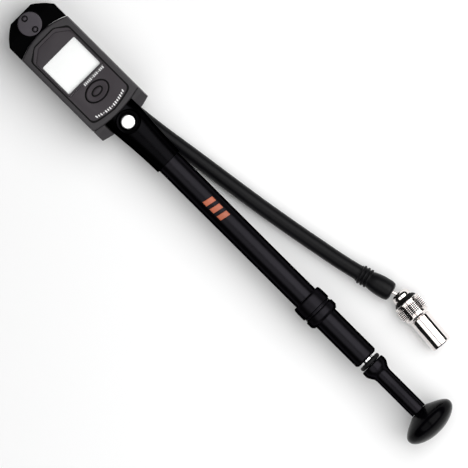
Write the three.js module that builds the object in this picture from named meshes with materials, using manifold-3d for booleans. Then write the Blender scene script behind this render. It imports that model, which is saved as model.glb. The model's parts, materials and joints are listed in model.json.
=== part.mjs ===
// A hand pump for bicycle suspension: a digital gauge head, a slim barrel with a sliding handle,
// and a swivelling hose that ends in a valve chuck. Millimetres, +Z up.
// The pump lies on its back on a table: X runs along the barrel from the gauge head (-X) to the
// knob (+X), Y runs across, and the display faces +Z. The origin is under the middle of the pump.
import * as THREE from "three";
import { mergeVertices } from "three/addons/utils/BufferGeometryUtils.js";
import Module from "manifold-3d";

const wasm = await Module();
wasm.setup();

// ---- Driving dimensions -------------------------------------------------------------------
const GAP = 0.3; // between pieces that are cut to fit or stand in a turned group
const BEYOND = 60; // a cutting solid that runs right through reaches this far

// Sides of the round pieces
const KNOB_SIDES = 32;
const FINE = 24;
const MEDIUM = 18;
const COARSE = 12;

// The knob's rim stands on the table, so it sets the height of the pump's axis.
const KNOB_RADIUS = 15.6;
const AXIS_Z = KNOB_RADIUS;
const PUMP_END_X = 156.7; // the knob's crown, and on the other side the head's nose

// Gauge head
const HEAD = { halfWidth: 16.7, backZ: 9.6, splitZ: 17.2, frontZ: 27, wall: 1.6 };
const NOSE = { halfFlat: 7.45, cornerX: -148, swell: 1.05, z: 19.8, slopeX: -148.6 };
const END_BLOCK_TOP_Z = 25.2;
const TOP_ARC = { x: -102.9, r: 39.5 }; // boundary of end block and shells
const LOW_ARC = { x: -150.9, r: 67.5 }; // lower end of the front shell
const SHOULDER = { x: -77, chamferX: 1.5, chamferY: 5.5, slopeX: -82.2, topZ: 25, endZ: 19 };
const CAVITY = { x0: -136.6, x1: -85.5, corner: 2, roofZ: 25.2 };
const SPIGOT = { x0: -143.4, x1: -137.2, halfWidth: 6, z0: 13.6, z1: 21.5 };
const SCREWS = { x: [-134.2, -88.6], y: 12.6, shank: 1, head: 1.9, z0: 9.9, headZ: 11.3, z1: 21.8 };
const SCREW_BOSS_RADIUS = 2.8;
const AIRWAY = { z: 17.9, radius: 1 };

// Display panel, window and mode button
const PANEL = { x0: -138.6, x1: -86.1, halfWidth: 13.2, z0: 26, z1: 26.8 };
const PANEL_CHAMFER = { x: 4.8, y: 7.3 };
const PANEL_CROWN = 3.1; // how far the panel's lower edge bows out
const WINDOW = { x0: -128.3, x1: -108.5, halfWidth: 11.95, corner: 0.8 };
const BUTTON = { x: -99.2, rx: 5.05, ry: 7.2, z0: 25.2, z1: 27.2, flange: 0.8, flangeZ: 24.9 };
const BOARD = { x0: -131.2, x1: -91.8, halfWidth: 12.2, z0: 21, z1: 22.2 };

// Coin cell and its door, in the back of the head
const BATTERY = { x: -103, doorRadius: 11, cellRadius: 10, cellZ0: 12.1, cellZ1: 15.3 };

// Hose swivel at the nose
const SWIVEL_X = -149.5;
const POST = { radius: 2.6, flangeRadius: 4.6, z0: 0.6, flangeZ: 1.9, z1: 24.1 };
const PLUG = { radius: 6.45, stem: 4.2, z0: 25.5, z1: 26.5, stemZ: 21.3, floorZ: 24.4 };
const SPANNER_HOLE = { radius: 1.7, offset: 3.95, floorZ: 25.2 };
const ELBOW = { radius: 6.3, top: HEAD.backZ - GAP, z: 4.7, outletRadius: 4.4, reach: 9.6 };
const SWIVEL_SEAL_Z = [2.9, 7.3];

// Neck, its bleed button and its check valve
const NECK = { x0: -86, x1: -46, socketX: -58 };
const NECK_SECTIONS = [
  // x, half width, half height
  [NECK.x0, 9.75, 7.7],
  [SHOULDER.x, 9.9, 7.75],
  [-71, 9.5, 7.8],
  [-66, 9.05, 7.85],
  [-58, 8.5, 8],
  [NECK.x1, 8.1, 8.1],
];
const BLEED = { x: -76.2, radius: 3.85, z0: 23.3, z1: 25.8, bossRadius: 6.1, bossZ: 25, stem: 1.05 };
const CHECK_BALL = { x: -53.5, radius: 1.5 };

// Barrel, from the neck to the handle
const BARREL = { x0: -57.7, splitX: 64, x1: 101.5, bore: 6, radius: 7.1, lowerRadius: 7 };
const CYLINDER = { x0: -56.1, x1: 97.3, bore: 5, radius: 5.75 };
const COLLAR = { x0: 56.5, grooveX: 65.3, x1: 71.4, radius: 9.2, grooveRadius: 8.4, endRadius: 7.8 };
const ROD_RADIUS = 3.7;
const ROD_CLEARANCE = 0.2;
const PISTON = { x0: -47, x1: -40, radius: 4.85, sealX0: -45, sealX1: -42.6, sealSeat: 3.7 };

// Handle
const HANDLE = { x0: 106, stem: 4.75, flange: 7.15, socketX: 118, stemEndX: 141, spigotX: 150 };
const SPIGOT_RADIUS = 3.2;

// Hose route: centre line from the ferrule to the boot, chosen so that the hose leaves the head
// almost along the barrel, lies on the table and then lifts to the height of the chuck.
const HOSE_RADIUS = 4.1;
const HOSE_ROUTE = [
  [-131.2, 1.2, 4.7],
  [-119.5, 2.1, 4.55],
  [-107, 3.1, 4.35],
  [-94.5, 4.15, 4.2],
  [-82, 5.2, 4.15],
  [-69.5, 6.45, 4.15],
  [-57, 8.05, 4.15],
  [-44.5, 9.95, 4.15],
  [-32, 11.8, 4.2],
  [-19.5, 13.6, 4.3],
  [-7, 15.4, 4.45],
  [5.5, 17.3, 4.65],
  [18, 19.4, 4.95],
  [30.5, 21.6, 5.35],
  [43, 23.95, 5.8],
  [55.5, 26.4, 6.3],
  [67.5, 29.2, 6.85],
];

// Chuck: everything on it is turned about the ball at the hose's end. X is measured from the ball.
const BALL = { at: new THREE.Vector3(91.9, 36.2, 7.95), radius: 2.9, stem: 1.25 };
const CHUCK_ANGLE = THREE.MathUtils.degToRad(-4.8);
const CUP = { stem: 3.3, radius: 5.7, x1: 22, mouthX: -1.4, mouthRadius: 2.45, airway: 1.1 };
const CHUCK_COLLAR = { x0: 3.4, x1: 14.2, radius: 7.85, rim: 7.7, bore: 3.7 };
const SLEEVE = { x0: 14.6, x1: 33.3, radius: 5.9, bore: 3.7, socketX: 22.3, socketRadius: 4.1 };
const GASKET = { x0: 22.6, x1: 23.8, bore: 1.3, radius: 3.8 };
const PIN = { x0: 12, x1: 25, radius: 0.75 };

// ---- Materials ----------------------------------------------------------------------------
const finish = (color, roughness, metalness = 0) =>
  new THREE.MeshStandardMaterial({ color, roughness, metalness });
const MATERIALS = {
  shell: finish(0x4a484b, 0.6),
  panel: finish(0x474448, 0.5),
  gloss: finish(0x0b0b0d, 0.18),
  neck: finish(0x151519, 0.45),
  anodised: finish(0x17171b, 0.35, 0.6),
  rubber: finish(0x1a1a1e, 0.75),
  display: finish(0xf6f7f5, 0.3),
  lens: finish(0xdfe6ea, 0.05),
  chrome: finish(0xd9d6d4, 0.1, 1),
  steel: finish(0xb9babd, 0.3, 1),
  brass: finish(0xb8964a, 0.35, 1),
  board: finish(0x1f5a35, 0.6),
};

// ---- Geometry helpers -----------------------------------------------------------------------
// A closed three.js geometry as a manifold-3d solid, facing outwards.
function solidOf(geometry) {
  const bare = geometry.index ? geometry.toNonIndexed() : geometry.clone();
  for (const attribute of ["normal", "uv"]) bare.deleteAttribute(attribute);
  const merged = mergeVertices(bare, 1e-4);
  const corners = merged.index.array;
  const triangles = [];
  for (let i = 0; i < corners.length; i += 3) {
    const [a, b, c] = [corners[i], corners[i + 1], corners[i + 2]];
    if (a !== b && b !== c && c !== a) triangles.push(a, b, c);
  }
  const make = () =>
    new wasm.Manifold(
      new wasm.Mesh({
        numProp: 3,
        vertProperties: new Float32Array(merged.attributes.position.array),
        triVerts: new Uint32Array(triangles),
      }),
    );
  const made = make();
  if (made.volume() > 0) return made;
  triangles.reverse();
  return make();
}

function geometryOf(solid) {
  const mesh = solid.getMesh();
  const geometry = new THREE.BufferGeometry();
  geometry.setAttribute("position", new THREE.BufferAttribute(mesh.vertProperties, 3));
  geometry.setIndex(new THREE.BufferAttribute(mesh.triVerts, 1));
  const flat = geometry.toNonIndexed();
  flat.computeVertexNormals();
  return flat;
}

const without = (solid, cuts) => cuts.reduce((left, cut) => left.subtract(cut), solid);
const withAll = (solid, more) => more.reduce((sum, extra) => sum.add(extra), solid);

// Revolves [along, radius] pairs about X, at (0, y, z).
function turnedX(profile, sides = FINE, y = 0, z = AXIS_Z) {
  const points = profile.map(([along, radius]) => new THREE.Vector2(radius, along));
  const geometry = new THREE.LatheGeometry(points, sides);
  geometry.rotateZ(-Math.PI / 2);
  geometry.translate(0, y, z);
  return solidOf(geometry);
}

// Revolves [height, radius] pairs about a vertical axis at (x, y).
function turnedZ(profile, x, y = 0, sides = MEDIUM) {
  const points = profile.map(([height, radius]) => new THREE.Vector2(radius, height));
  const geometry = new THREE.LatheGeometry(points, sides);
  geometry.rotateX(Math.PI / 2);
  geometry.translate(x, y, 0);
  return solidOf(geometry);
}

const rodProfile = (from, to, radius) => [
  [from, 0],
  [from, radius],
  [to, radius],
  [to, 0],
];
const tubeProfile = (from, to, bore, radius) => [
  [from, bore],
  [from, radius],
  [to, radius],
  [to, bore],
  [from, bore],
];
const rodX = (x0, x1, radius, sides, y, z) => turnedX(rodProfile(x0, x1, radius), sides, y, z);
const tubeX = (x0, x1, bore, radius, sides, y, z) =>
  turnedX(tubeProfile(x0, x1, bore, radius), sides, y, z);
const rodZ = (z0, z1, radius, x, y, sides) => turnedZ(rodProfile(z0, z1, radius), x, y, sides);
const tubeZ = (z0, z1, bore, radius, x, y, sides) =>
  turnedZ(tubeProfile(z0, z1, bore, radius), x, y, sides);

function box(x0, x1, y0, y1, z0, z1) {
  const geometry = new THREE.BoxGeometry(x1 - x0, y1 - y0, z1 - z0);
  geometry.translate((x0 + x1) / 2, (y0 + y1) / 2, (z0 + z1) / 2);
  return solidOf(geometry);
}

function prism(shape, z0, z1, curveSegments = 6) {
  const geometry = new THREE.ExtrudeGeometry(shape, {
    depth: z1 - z0,
    bevelEnabled: false,
    curveSegments,
  });
  geometry.translate(0, 0, z0);
  return solidOf(geometry);
}

// A prism whose top edge is bevelled inwards.
function bevelledPrism(shape, z0, z1, bevel) {
  const geometry = new THREE.ExtrudeGeometry(shape, {
    depth: z1 - z0,
    bevelEnabled: true,
    bevelThickness: bevel,
    bevelSize: bevel,
    bevelOffset: -bevel,
    bevelSegments: 1,
    curveSegments: 6,
  });
  geometry.translate(0, 0, z0 - bevel);
  const below = box(-4 * BEYOND, 4 * BEYOND, -BEYOND, BEYOND, z0 - 10, z0);
  return solidOf(geometry).subtract(below);
}

// All that lies above a plane sloping from (x0, z0) to (x1, z1).
function aboveSlope(x0, z0, x1, z1) {
  const shape = new THREE.Shape([
    new THREE.Vector2(x0, z0),
    new THREE.Vector2(x1, z1),
    new THREE.Vector2(x1, BEYOND),
    new THREE.Vector2(x0, BEYOND),
  ]);
  const geometry = new THREE.ExtrudeGeometry(shape, { depth: BEYOND, bevelEnabled: false });
  geometry.rotateX(Math.PI / 2);
  geometry.translate(0, BEYOND / 2, 0);
  return solidOf(geometry);
}

// Joins elliptical sections [x, halfWidth, halfHeight] into one closed loft along X.
function ellipticalLoft(sections, grow = 0) {
  const sides = FINE;
  const vertices = [];
  const index = [];
  for (const [x, halfWidth, halfHeight] of sections)
    for (let i = 0; i < sides; i++) {
      const angle = (2 * Math.PI * i) / sides;
      const y = (halfWidth + grow) * Math.cos(angle);
      vertices.push(x, y, AXIS_Z + (halfHeight + grow) * Math.sin(angle));
    }
  const last = (sections.length - 1) * sides;
  for (let i = 0; i < sides; i++) {
    const next = (i + 1) % sides;
    for (let ring = 0; ring < last; ring += sides) {
      index.push(ring + i, ring + next, ring + sides + i);
      index.push(ring + next, ring + sides + next, ring + sides + i);
    }
    if (i > 0 && i < sides - 1) {
      index.push(0, i + 1, i);
      index.push(last, last + i, last + i + 1);
    }
  }
  const geometry = new THREE.BufferGeometry();
  geometry.setAttribute("position", new THREE.Float32BufferAttribute(vertices, 3));
  geometry.setIndex(index);
  return solidOf(geometry);
}

// A helical spring that stands on the origin along +Z, moved by the matrix.
function spring(length, coilRadius, wireRadius, turns, matrix) {
  class Helix extends THREE.Curve {
    getPoint(t) {
      const angle = 2 * Math.PI * turns * t;
      return new THREE.Vector3(
        coilRadius * Math.cos(angle),
        coilRadius * Math.sin(angle),
        wireRadius + (length - 2 * wireRadius) * t,
      );
    }
  }
  const wire = new THREE.Shape().absarc(0, 0, wireRadius, 0, 2 * Math.PI, false);
  const geometry = new THREE.ExtrudeGeometry(wire, {
    steps: turns * 8,
    curveSegments: 3,
    extrudePath: new Helix(),
  });
  geometry.applyMatrix4(matrix);
  return solidOf(geometry);
}

const ellipse = (x, rx, ry) =>
  new THREE.Shape().absellipse(x, 0, rx, ry, 0, 2 * Math.PI, false, 0);

function rectangle(x0, x1, halfWidth, corner) {
  const shape = new THREE.Shape();
  shape.moveTo(x0 + corner, -halfWidth);
  shape.lineTo(x1 - corner, -halfWidth);
  shape.absarc(x1 - corner, -halfWidth + corner, corner, -Math.PI / 2, 0, false);
  shape.absarc(x1 - corner, halfWidth - corner, corner, 0, Math.PI / 2, false);
  shape.absarc(x0 + corner, halfWidth - corner, corner, Math.PI / 2, Math.PI, false);
  shape.absarc(x0 + corner, -halfWidth + corner, corner, Math.PI, 1.5 * Math.PI, false);
  return shape;
}

// ---- The exported group ---------------------------------------------------------------------
const pump = new THREE.Group();

function add(name, solid, material, parent = pump) {
  const mesh = new THREE.Mesh(geometryOf(solid), material);
  mesh.name = name;
  parent.add(mesh);
}

// A group whose local X runs from one point towards another, at the first.
function groupAlong(from, to) {
  const group = new THREE.Group();
  const direction = to.clone().sub(from).normalize();
  group.quaternion.setFromUnitVectors(new THREE.Vector3(1, 0, 0), direction);
  group.position.copy(from);
  pump.add(group);
  return group;
}

// ---- Outlines of the gauge head ---------------------------------------------------------------
// Where an arc meets the head's side walls.
const arcReach = (arc, side, grow) =>
  arc.x + side * Math.sqrt((arc.r + grow) ** 2 - HEAD.halfWidth ** 2);

// The arc's angle at the head's side walls, measured from the X axis.
const arcAngle = (arc, grow) => Math.asin(HEAD.halfWidth / (arc.r + grow));

function endBlockOutline() {
  const w = HEAD.halfWidth;
  const controlX = (NOSE.cornerX - PUMP_END_X) / 2 - NOSE.swell;
  const controlY = (w + NOSE.halfFlat) / 2 + NOSE.swell;
  const angle = arcAngle(TOP_ARC, GAP);
  const shape = new THREE.Shape();
  shape.moveTo(arcReach(TOP_ARC, -1, GAP), w);
  shape.lineTo(NOSE.cornerX, w);
  shape.quadraticCurveTo(controlX, controlY, -PUMP_END_X, NOSE.halfFlat);
  shape.lineTo(-PUMP_END_X, -NOSE.halfFlat);
  shape.quadraticCurveTo(controlX, -controlY, NOSE.cornerX, -w);
  shape.lineTo(arcReach(TOP_ARC, -1, GAP), -w);
  shape.absarc(TOP_ARC.x, 0, TOP_ARC.r + GAP, Math.PI + angle, Math.PI - angle, true);
  return shape;
}

// From the end block to the arc at the lower end, or on to the shoulders.
function shellOutline(withShoulders) {
  const w = HEAD.halfWidth;
  const angle = arcAngle(TOP_ARC, 0);
  const shape = new THREE.Shape();
  shape.moveTo(arcReach(TOP_ARC, -1, 0), -w);
  if (withShoulders) {
    shape.lineTo(SHOULDER.x - SHOULDER.chamferX, -w);
    shape.lineTo(SHOULDER.x, SHOULDER.chamferY - w);
    shape.lineTo(SHOULDER.x, w - SHOULDER.chamferY);
    shape.lineTo(SHOULDER.x - SHOULDER.chamferX, w);
  } else {
    const low = arcAngle(LOW_ARC, 0);
    shape.absarc(LOW_ARC.x, 0, LOW_ARC.r, -low, low, false);
  }
  shape.lineTo(arcReach(TOP_ARC, -1, 0), w);
  shape.absarc(TOP_ARC.x, 0, TOP_ARC.r, Math.PI - angle, Math.PI + angle, false);
  return shape;
}

function panelOutline(grow = 0) {
  const w = PANEL.halfWidth + grow;
  const x0 = PANEL.x0 - grow;
  const chamferX = x0 + PANEL_CHAMFER.x;
  const corner = { along: 2.2, across: 3.2 };
  const sideX = PANEL.x1 + grow - PANEL_CROWN; // where the sides end and the bowed edge begins
  const bowX = sideX + 0.9;
  const shape = new THREE.Shape();
  shape.moveTo(chamferX, -w);
  shape.lineTo(sideX - corner.along, -w);
  shape.quadraticCurveTo(sideX + 0.2, -w, bowX, corner.across - w);
  shape.quadraticCurveTo(sideX + PANEL_CROWN + 0.9, 0, bowX, w - corner.across);
  shape.quadraticCurveTo(sideX + 0.2, w, sideX - corner.along, w);
  shape.lineTo(chamferX, w);
  shape.lineTo(x0, PANEL_CHAMFER.y);
  shape.lineTo(x0, -PANEL_CHAMFER.y);
  return shape;
}

const cavitySolid = (z0, z1) =>
  prism(rectangle(CAVITY.x0, CAVITY.x1, HEAD.halfWidth - HEAD.wall, CAVITY.corner), z0, z1);

// The seat that the shells leave for the neck's flanged end.
const neckSaddle = () => {
  const [, halfWidth, halfHeight] = NECK_SECTIONS[0];
  const ends = [NECK.x0 - 4, NECK.x0 + 16];
  return ellipticalLoft(ends.map((x) => [x, halfWidth, halfHeight]), GAP);
};

const spigotWell = (z0, z1) => {
  const reach = SPIGOT.halfWidth + GAP;
  return box(TOP_ARC.x - TOP_ARC.r - 8, SPIGOT.x1 + 1.2, -reach, reach, z0, z1);
};

const screwPlaces = SCREWS.x.flatMap((x) => [SCREWS.y, -SCREWS.y].map((y) => [x, y]));
const atScrews = (z0, z1, radius) => screwPlaces.map(([x, y]) => rodZ(z0, z1, radius, x, y, COARSE));

// ---- Gauge head: end block and hose swivel ----------------------------------------------------
function addEndBlock() {
  const bossRadius = PLUG.radius + 0.45;
  const body = prism(endBlockOutline(), HEAD.backZ, END_BLOCK_TOP_Z)
    .subtract(aboveSlope(-PUMP_END_X - 1, NOSE.z, NOSE.slopeX, END_BLOCK_TOP_Z))
    .add(rodZ(HEAD.backZ, END_BLOCK_TOP_Z, bossRadius, SWIVEL_X, 0, FINE))
    .add(box(SPIGOT.x0, SPIGOT.x1, -SPIGOT.halfWidth, SPIGOT.halfWidth, SPIGOT.z0, SPIGOT.z1));
  const plugWell = rodZ(PLUG.stemZ - GAP, BEYOND, PLUG.stem + GAP, SWIVEL_X, 0, MEDIUM);
  const postBore = rodZ(0, BEYOND, POST.radius + GAP, SWIVEL_X, 0, MEDIUM);
  const airway = rodX(SWIVEL_X + 3, SPIGOT.x1 + 7, AIRWAY.radius, COARSE, 0, AIRWAY.z);
  add("end_block", without(body, [plugWell, postBore, airway]), MATERIALS.gloss);
}

function addSwivel() {
  const disc = turnedZ(
    [
      [PLUG.stemZ, 3],
      [PLUG.stemZ, PLUG.stem],
      [PLUG.z0, PLUG.stem],
      [PLUG.z0, PLUG.radius],
      [PLUG.z1 - GAP, PLUG.radius],
      [PLUG.z1, PLUG.radius - 0.35],
      [PLUG.z1, 0],
      [PLUG.floorZ, 0],
      [PLUG.floorZ, 3],
      [PLUG.stemZ, 3],
    ],
    SWIVEL_X,
    0,
    FINE,
  );
  const { radius, offset, floorZ } = SPANNER_HOLE;
  const holes = [-offset, offset].map((reach) =>
    rodZ(floorZ, BEYOND, radius, SWIVEL_X + reach, 0, COARSE),
  );
  add("swivel_plug", without(disc, holes), MATERIALS.panel);

  const post = turnedZ(
    [
      [POST.z0, 0],
      [POST.z0, POST.flangeRadius],
      [POST.flangeZ, POST.flangeRadius],
      [POST.flangeZ, POST.radius],
      [POST.z1, POST.radius],
      [POST.z1, 0],
    ],
    SWIVEL_X,
  );
  const airway = rodX(SWIVEL_X - 10, SWIVEL_X + 10, 0.8, COARSE, 0, ELBOW.z);
  add("swivel_post", post.subtract(airway), MATERIALS.steel);

  for (const [index, z] of SWIVEL_SEAL_Z.entries()) {
    const seal = tubeZ(z, z + 0.8, POST.radius + 0.25, POST.radius + 1, SWIVEL_X, 0, COARSE);
    add(`swivel_seal_${index + 1}`, seal, MATERIALS.rubber);
  }
}

// The elbow turns on the post and carries the hose.
function addElbow(hoseStart) {
  const toHose = new THREE.Vector3(hoseStart.x - SWIVEL_X, hoseStart.y, 0).normalize();
  const along = new THREE.Quaternion().setFromUnitVectors(new THREE.Vector3(0, 1, 0), toHose);
  const centre = new THREE.Vector3(SWIVEL_X, 0, ELBOW.z);
  const sideRod = (radius, length, sides) => {
    const geometry = new THREE.CylinderGeometry(radius, radius, length, sides);
    geometry.applyQuaternion(along);
    geometry.translate(...centre.clone().addScaledVector(toHose, length / 2).toArray());
    return solidOf(geometry);
  };
  const body = rodZ(0, ELBOW.top, ELBOW.radius, SWIVEL_X, 0, FINE);
  const outlet = sideRod(ELBOW.outletRadius, ELBOW.reach, MEDIUM);
  const bore = rodZ(-1, BEYOND, POST.radius + 1.3, SWIVEL_X, 0, MEDIUM);
  const flangeWell = rodZ(-1, POST.flangeZ + GAP, POST.flangeRadius + 0.4, SWIVEL_X, 0, MEDIUM);
  const drilling = sideRod(1.2, 2 * ELBOW.reach, COARSE);
  add("swivel_elbow", without(body.add(outlet), [bore, flangeWell, drilling]), MATERIALS.neck);
}

// ---- Gauge head: shells, panel, button and electronics ------------------------------------------
function addRearShell() {
  const floorZ = HEAD.backZ + HEAD.wall;
  const doorHoleRadius = BATTERY.doorRadius + GAP;
  const frontShellFoot = box(
    LOW_ARC.x + LOW_ARC.r - 30,
    arcReach(LOW_ARC, 1, GAP) + 0.1,
    -BEYOND,
    BEYOND,
    HEAD.splitZ,
    BEYOND,
  );
  const shoulders = prism(shellOutline(true), HEAD.splitZ - 1, SHOULDER.topZ)
    .subtract(prism(shellOutline(false), HEAD.splitZ, BEYOND))
    .subtract(frontShellFoot)
    .subtract(aboveSlope(SHOULDER.slopeX, SHOULDER.topZ, SHOULDER.x + 1, SHOULDER.endZ));
  const well = tubeZ(
    floorZ - 0.5,
    BATTERY.cellZ1 - 0.7,
    doorHoleRadius,
    doorHoleRadius + 1.1,
    BATTERY.x,
    0,
    FINE,
  );
  const body = prism(shellOutline(true), HEAD.backZ, HEAD.splitZ)
    .add(shoulders)
    .subtract(cavitySolid(floorZ, BEYOND))
    .add(well)
    .subtract(rodZ(0, floorZ + 1, doorHoleRadius, BATTERY.x, 0, FINE));
  const neckHalfWidth = NECK_SECTIONS[0][1] + 0.45;
  const neckSlot = box(NECK.x0 - 4, NECK.x0 + 16, -neckHalfWidth, neckHalfWidth, AXIS_Z, BEYOND);
  const shell = withAll(body, atScrews(floorZ - 0.5, HEAD.splitZ, SCREW_BOSS_RADIUS));
  const cuts = [
    neckSaddle(),
    neckSlot,
    spigotWell(SPIGOT.z0 - GAP, BEYOND),
    ...atScrews(0, BEYOND, SCREWS.shank + GAP),
    ...atScrews(0, SCREWS.headZ + 0.2, SCREWS.head + GAP),
  ];
  add("rear_shell", without(shell, cuts), MATERIALS.shell);
}

function addFrontShell() {
  const low = HEAD.splitZ + GAP;
  const screwEndZ = SCREWS.z1 + 0.8;
  const body = bevelledPrism(shellOutline(false), low, HEAD.frontZ, 0.9);
  const hollow = body.subtract(cavitySolid(0, CAVITY.roofZ));
  const shell = withAll(hollow, atScrews(low, CAVITY.roofZ + 0.2, SCREW_BOSS_RADIUS - 0.2));
  const cuts = [
    prism(panelOutline(0.25), PANEL.z0 - 0.1, BEYOND),
    prism(rectangle(-131, -91.5, BOARD.halfWidth + 0.1, 1), 20, BEYOND),
    neckSaddle(),
    spigotWell(0, SPIGOT.z1 + GAP),
    ...atScrews(0, screwEndZ, SCREWS.shank + GAP),
  ];
  add("front_shell", without(shell, cuts), MATERIALS.shell);
}

function addPanel() {
  const { x0, x1, halfWidth, corner } = WINDOW;
  const window = prism(rectangle(x0, x1, halfWidth, corner), 20, BEYOND);
  const buttonHole = prism(ellipse(BUTTON.x, BUTTON.rx, BUTTON.ry), 20, BEYOND, 16);
  const panel = prism(panelOutline(), PANEL.z0, PANEL.z1);
  add("display_panel", without(panel, [window, buttonHole]), MATERIALS.panel);

  const inset = 0.2;
  const lensOutline = rectangle(x0 + inset, x1 - inset, halfWidth - inset, corner - inset);
  add("display_lens", prism(lensOutline, 25.3, PANEL.z1 - inset), MATERIALS.lens);
  const glass = halfWidth + 0.15;
  add("lcd_module", box(x0 - 1.7, x1 + 1.7, -glass, glass, 23.3, 25), MATERIALS.display);
}

function addModeButton() {
  const { x, rx, ry, z0, z1, flange, flangeZ } = BUTTON;
  const cap = prism(ellipse(x, rx - GAP, ry - GAP), z0, z1, 12)
    .add(prism(ellipse(x, rx + flange, ry + flange), flangeZ, z0 + 0.4, 12))
    .add(rodZ(23.7, flangeZ + 0.1, 1.5, x, 0, COARSE));
  add("mode_button", cap, MATERIALS.rubber);
  const half = 2.6;
  const base = box(x - half, x + half, -half, half, 22.3, 22.7);
  add("mode_switch", base.add(rodZ(22.5, 23, 1.2, x, 0, COARSE)), MATERIALS.steel);
}

function addElectronics() {
  const { x0, x1, halfWidth, z0, z1 } = BOARD;
  add("circuit_board", box(x0, x1, -halfWidth, halfWidth, z0, z1), MATERIALS.board);
  add("pressure_sensor", box(-127, -119, -4, 4, 19.8, z0 - 0.1), MATERIALS.steel);
  const airTube = tubeX(SPIGOT.x1 + GAP, -88.8, 0.9, 1.7, COARSE, 0, AIRWAY.z);
  add("air_tube", airTube, MATERIALS.brass);
}

function addBattery() {
  const { x, doorRadius, cellRadius, cellZ0, cellZ1 } = BATTERY;
  add("coin_cell", rodZ(cellZ0, cellZ1, cellRadius, x, 0, MEDIUM), MATERIALS.steel);
  const clip = { z0: cellZ1 + 0.1, z1: cellZ1 + 0.5, halfWidth: 6 };
  const plate = box(x - 5, x + 5, -clip.halfWidth, clip.halfWidth, clip.z0, clip.z1);
  const leg = box(x + 4.6, x + 5, clip.halfWidth / 2, clip.halfWidth, clip.z0 + 0.2, BOARD.z0 - 0.2);
  add("battery_clip", plate.add(leg), MATERIALS.brass);

  const door = rodZ(HEAD.backZ, HEAD.backZ + 1.5, doorRadius, x, 0, FINE);
  const coinSlot = box(x - 6, x + 6, -0.9, 0.9, 0, HEAD.backZ + 0.9);
  add("battery_door", door.subtract(coinSlot), MATERIALS.shell);
  const seal = tubeZ(11.2, 11.9, doorRadius - 0.9, doorRadius, x, 0, MEDIUM);
  add("battery_door_seal", seal, MATERIALS.rubber);
}

function addScrews() {
  const { shank, head, z0, headZ, z1 } = SCREWS;
  const arm = { reach: 1, halfWidth: 0.25 };
  for (const [index, [x, y]] of screwPlaces.entries()) {
    const screw = turnedZ(
      [
        [z0, 0],
        [z0, head],
        [headZ, head],
        [headZ, shank],
        [z1, shank],
        [z1, 0],
      ],
      x,
      y,
      COARSE,
    );
    const recess = [
      [arm.reach, arm.halfWidth],
      [arm.halfWidth, arm.reach],
    ].map(([dx, dy]) => box(x - dx, x + dx, y - dy, y + dy, 0, z0 + 0.6));
    add(`shell_screw_${index + 1}`, without(screw, recess), MATERIALS.steel);
  }
}

// ---- Neck with bleed valve and check valve ------------------------------------------------------
function addNeck() {
  const boss = turnedZ(
    [
      [AXIS_Z, 0],
      [AXIS_Z, BLEED.bossRadius + 0.4],
      [BLEED.bossZ - 0.5, BLEED.bossRadius],
      [BLEED.bossZ, BLEED.bossRadius - 0.5],
      [BLEED.bossZ, 0],
    ],
    BLEED.x,
  );
  const flange = box(NECK.x0 - 2.4, NECK.x0 + 0.5, -9.2, 9.2, 12.4, 22.4);
  const body = ellipticalLoft(NECK_SECTIONS).add(boss).add(flange);
  const airway = rodX(NECK.x0 - 4, NECK.socketX, AIRWAY.radius, COARSE, 0, AIRWAY.z);
  const chamber = rodX(NECK.x0 + 2, NECK.socketX + 1, 2.6, COARSE);
  const socket = rodX(NECK.socketX, 0, BARREL.radius + 0.25, FINE);
  const buttonWell = rodZ(BLEED.z0 - 1.9, BEYOND, BLEED.radius + GAP, BLEED.x, 0, MEDIUM);
  const stemBore = rodZ(17, BEYOND / 2, BLEED.stem + GAP, BLEED.x, 0, COARSE);
  const valvePocket = rodZ(13.1, 18.2, 2.6, BLEED.x, 0, COARSE);
  const cuts = [airway, chamber, socket, buttonWell, stemBore, valvePocket];
  add("neck", without(body, cuts), MATERIALS.neck);
}

function addBleedValve() {
  const { x, radius, z0, z1, stem } = BLEED;
  const cap = turnedZ(
    [
      [z0, 0],
      [z0, radius],
      [z1 - 0.6, radius],
      [z1 - 0.2, radius - 0.5],
      [z1, 0],
    ],
    x,
  );
  add("bleed_button", cap, MATERIALS.chrome);
  add("bleed_stem", rodZ(16.2, z0 - 0.1, stem, x, 0, COARSE), MATERIALS.brass);
  add("bleed_seal", tubeZ(16.4, 17.7, stem + 0.1, 2.2, x, 0, COARSE), MATERIALS.rubber);
  const placed = new THREE.Matrix4().makeTranslation(x, 0, z0 - 1.8);
  add("bleed_spring", spring(1.7, 2.2, 0.2, 2, placed), MATERIALS.steel);
}

function addCheckValve() {
  const headBore = { wide: 2, narrow: 0.8 };
  const head = turnedX(
    [
      [BARREL.x0, headBore.wide],
      [BARREL.x0, 5.65],
      [CYLINDER.x0 - 0.2, 5.65],
      [CYLINDER.x0 - 0.2, PISTON.radius],
      [PISTON.x0 - 0.5, PISTON.radius],
      [PISTON.x0 - 0.5, headBore.narrow],
      [PISTON.x0 - 5, headBore.narrow],
      [PISTON.x0 - 5, headBore.wide],
      [BARREL.x0, headBore.wide],
    ],
    MEDIUM,
  );
  add("cylinder_head", head, MATERIALS.brass);
  const ball = new THREE.SphereGeometry(CHECK_BALL.radius, COARSE, 8);
  ball.translate(CHECK_BALL.x, 0, AXIS_Z);
  add("check_ball", solidOf(ball), MATERIALS.steel);
  const retainer = tubeX(BARREL.x0 + 0.1, BARREL.x0 + 0.7, 0.8, 1.85, COARSE);
  add("check_retainer", retainer, MATERIALS.brass);
  const alongX = new THREE.Matrix4().makeRotationY(Math.PI / 2);
  const placed = new THREE.Matrix4().makeTranslation(BARREL.x0 + 0.8, 0, AXIS_Z).multiply(alongX);
  add("check_spring", spring(1.8, 1.1, 0.2, 3, placed), MATERIALS.steel);
}

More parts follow.
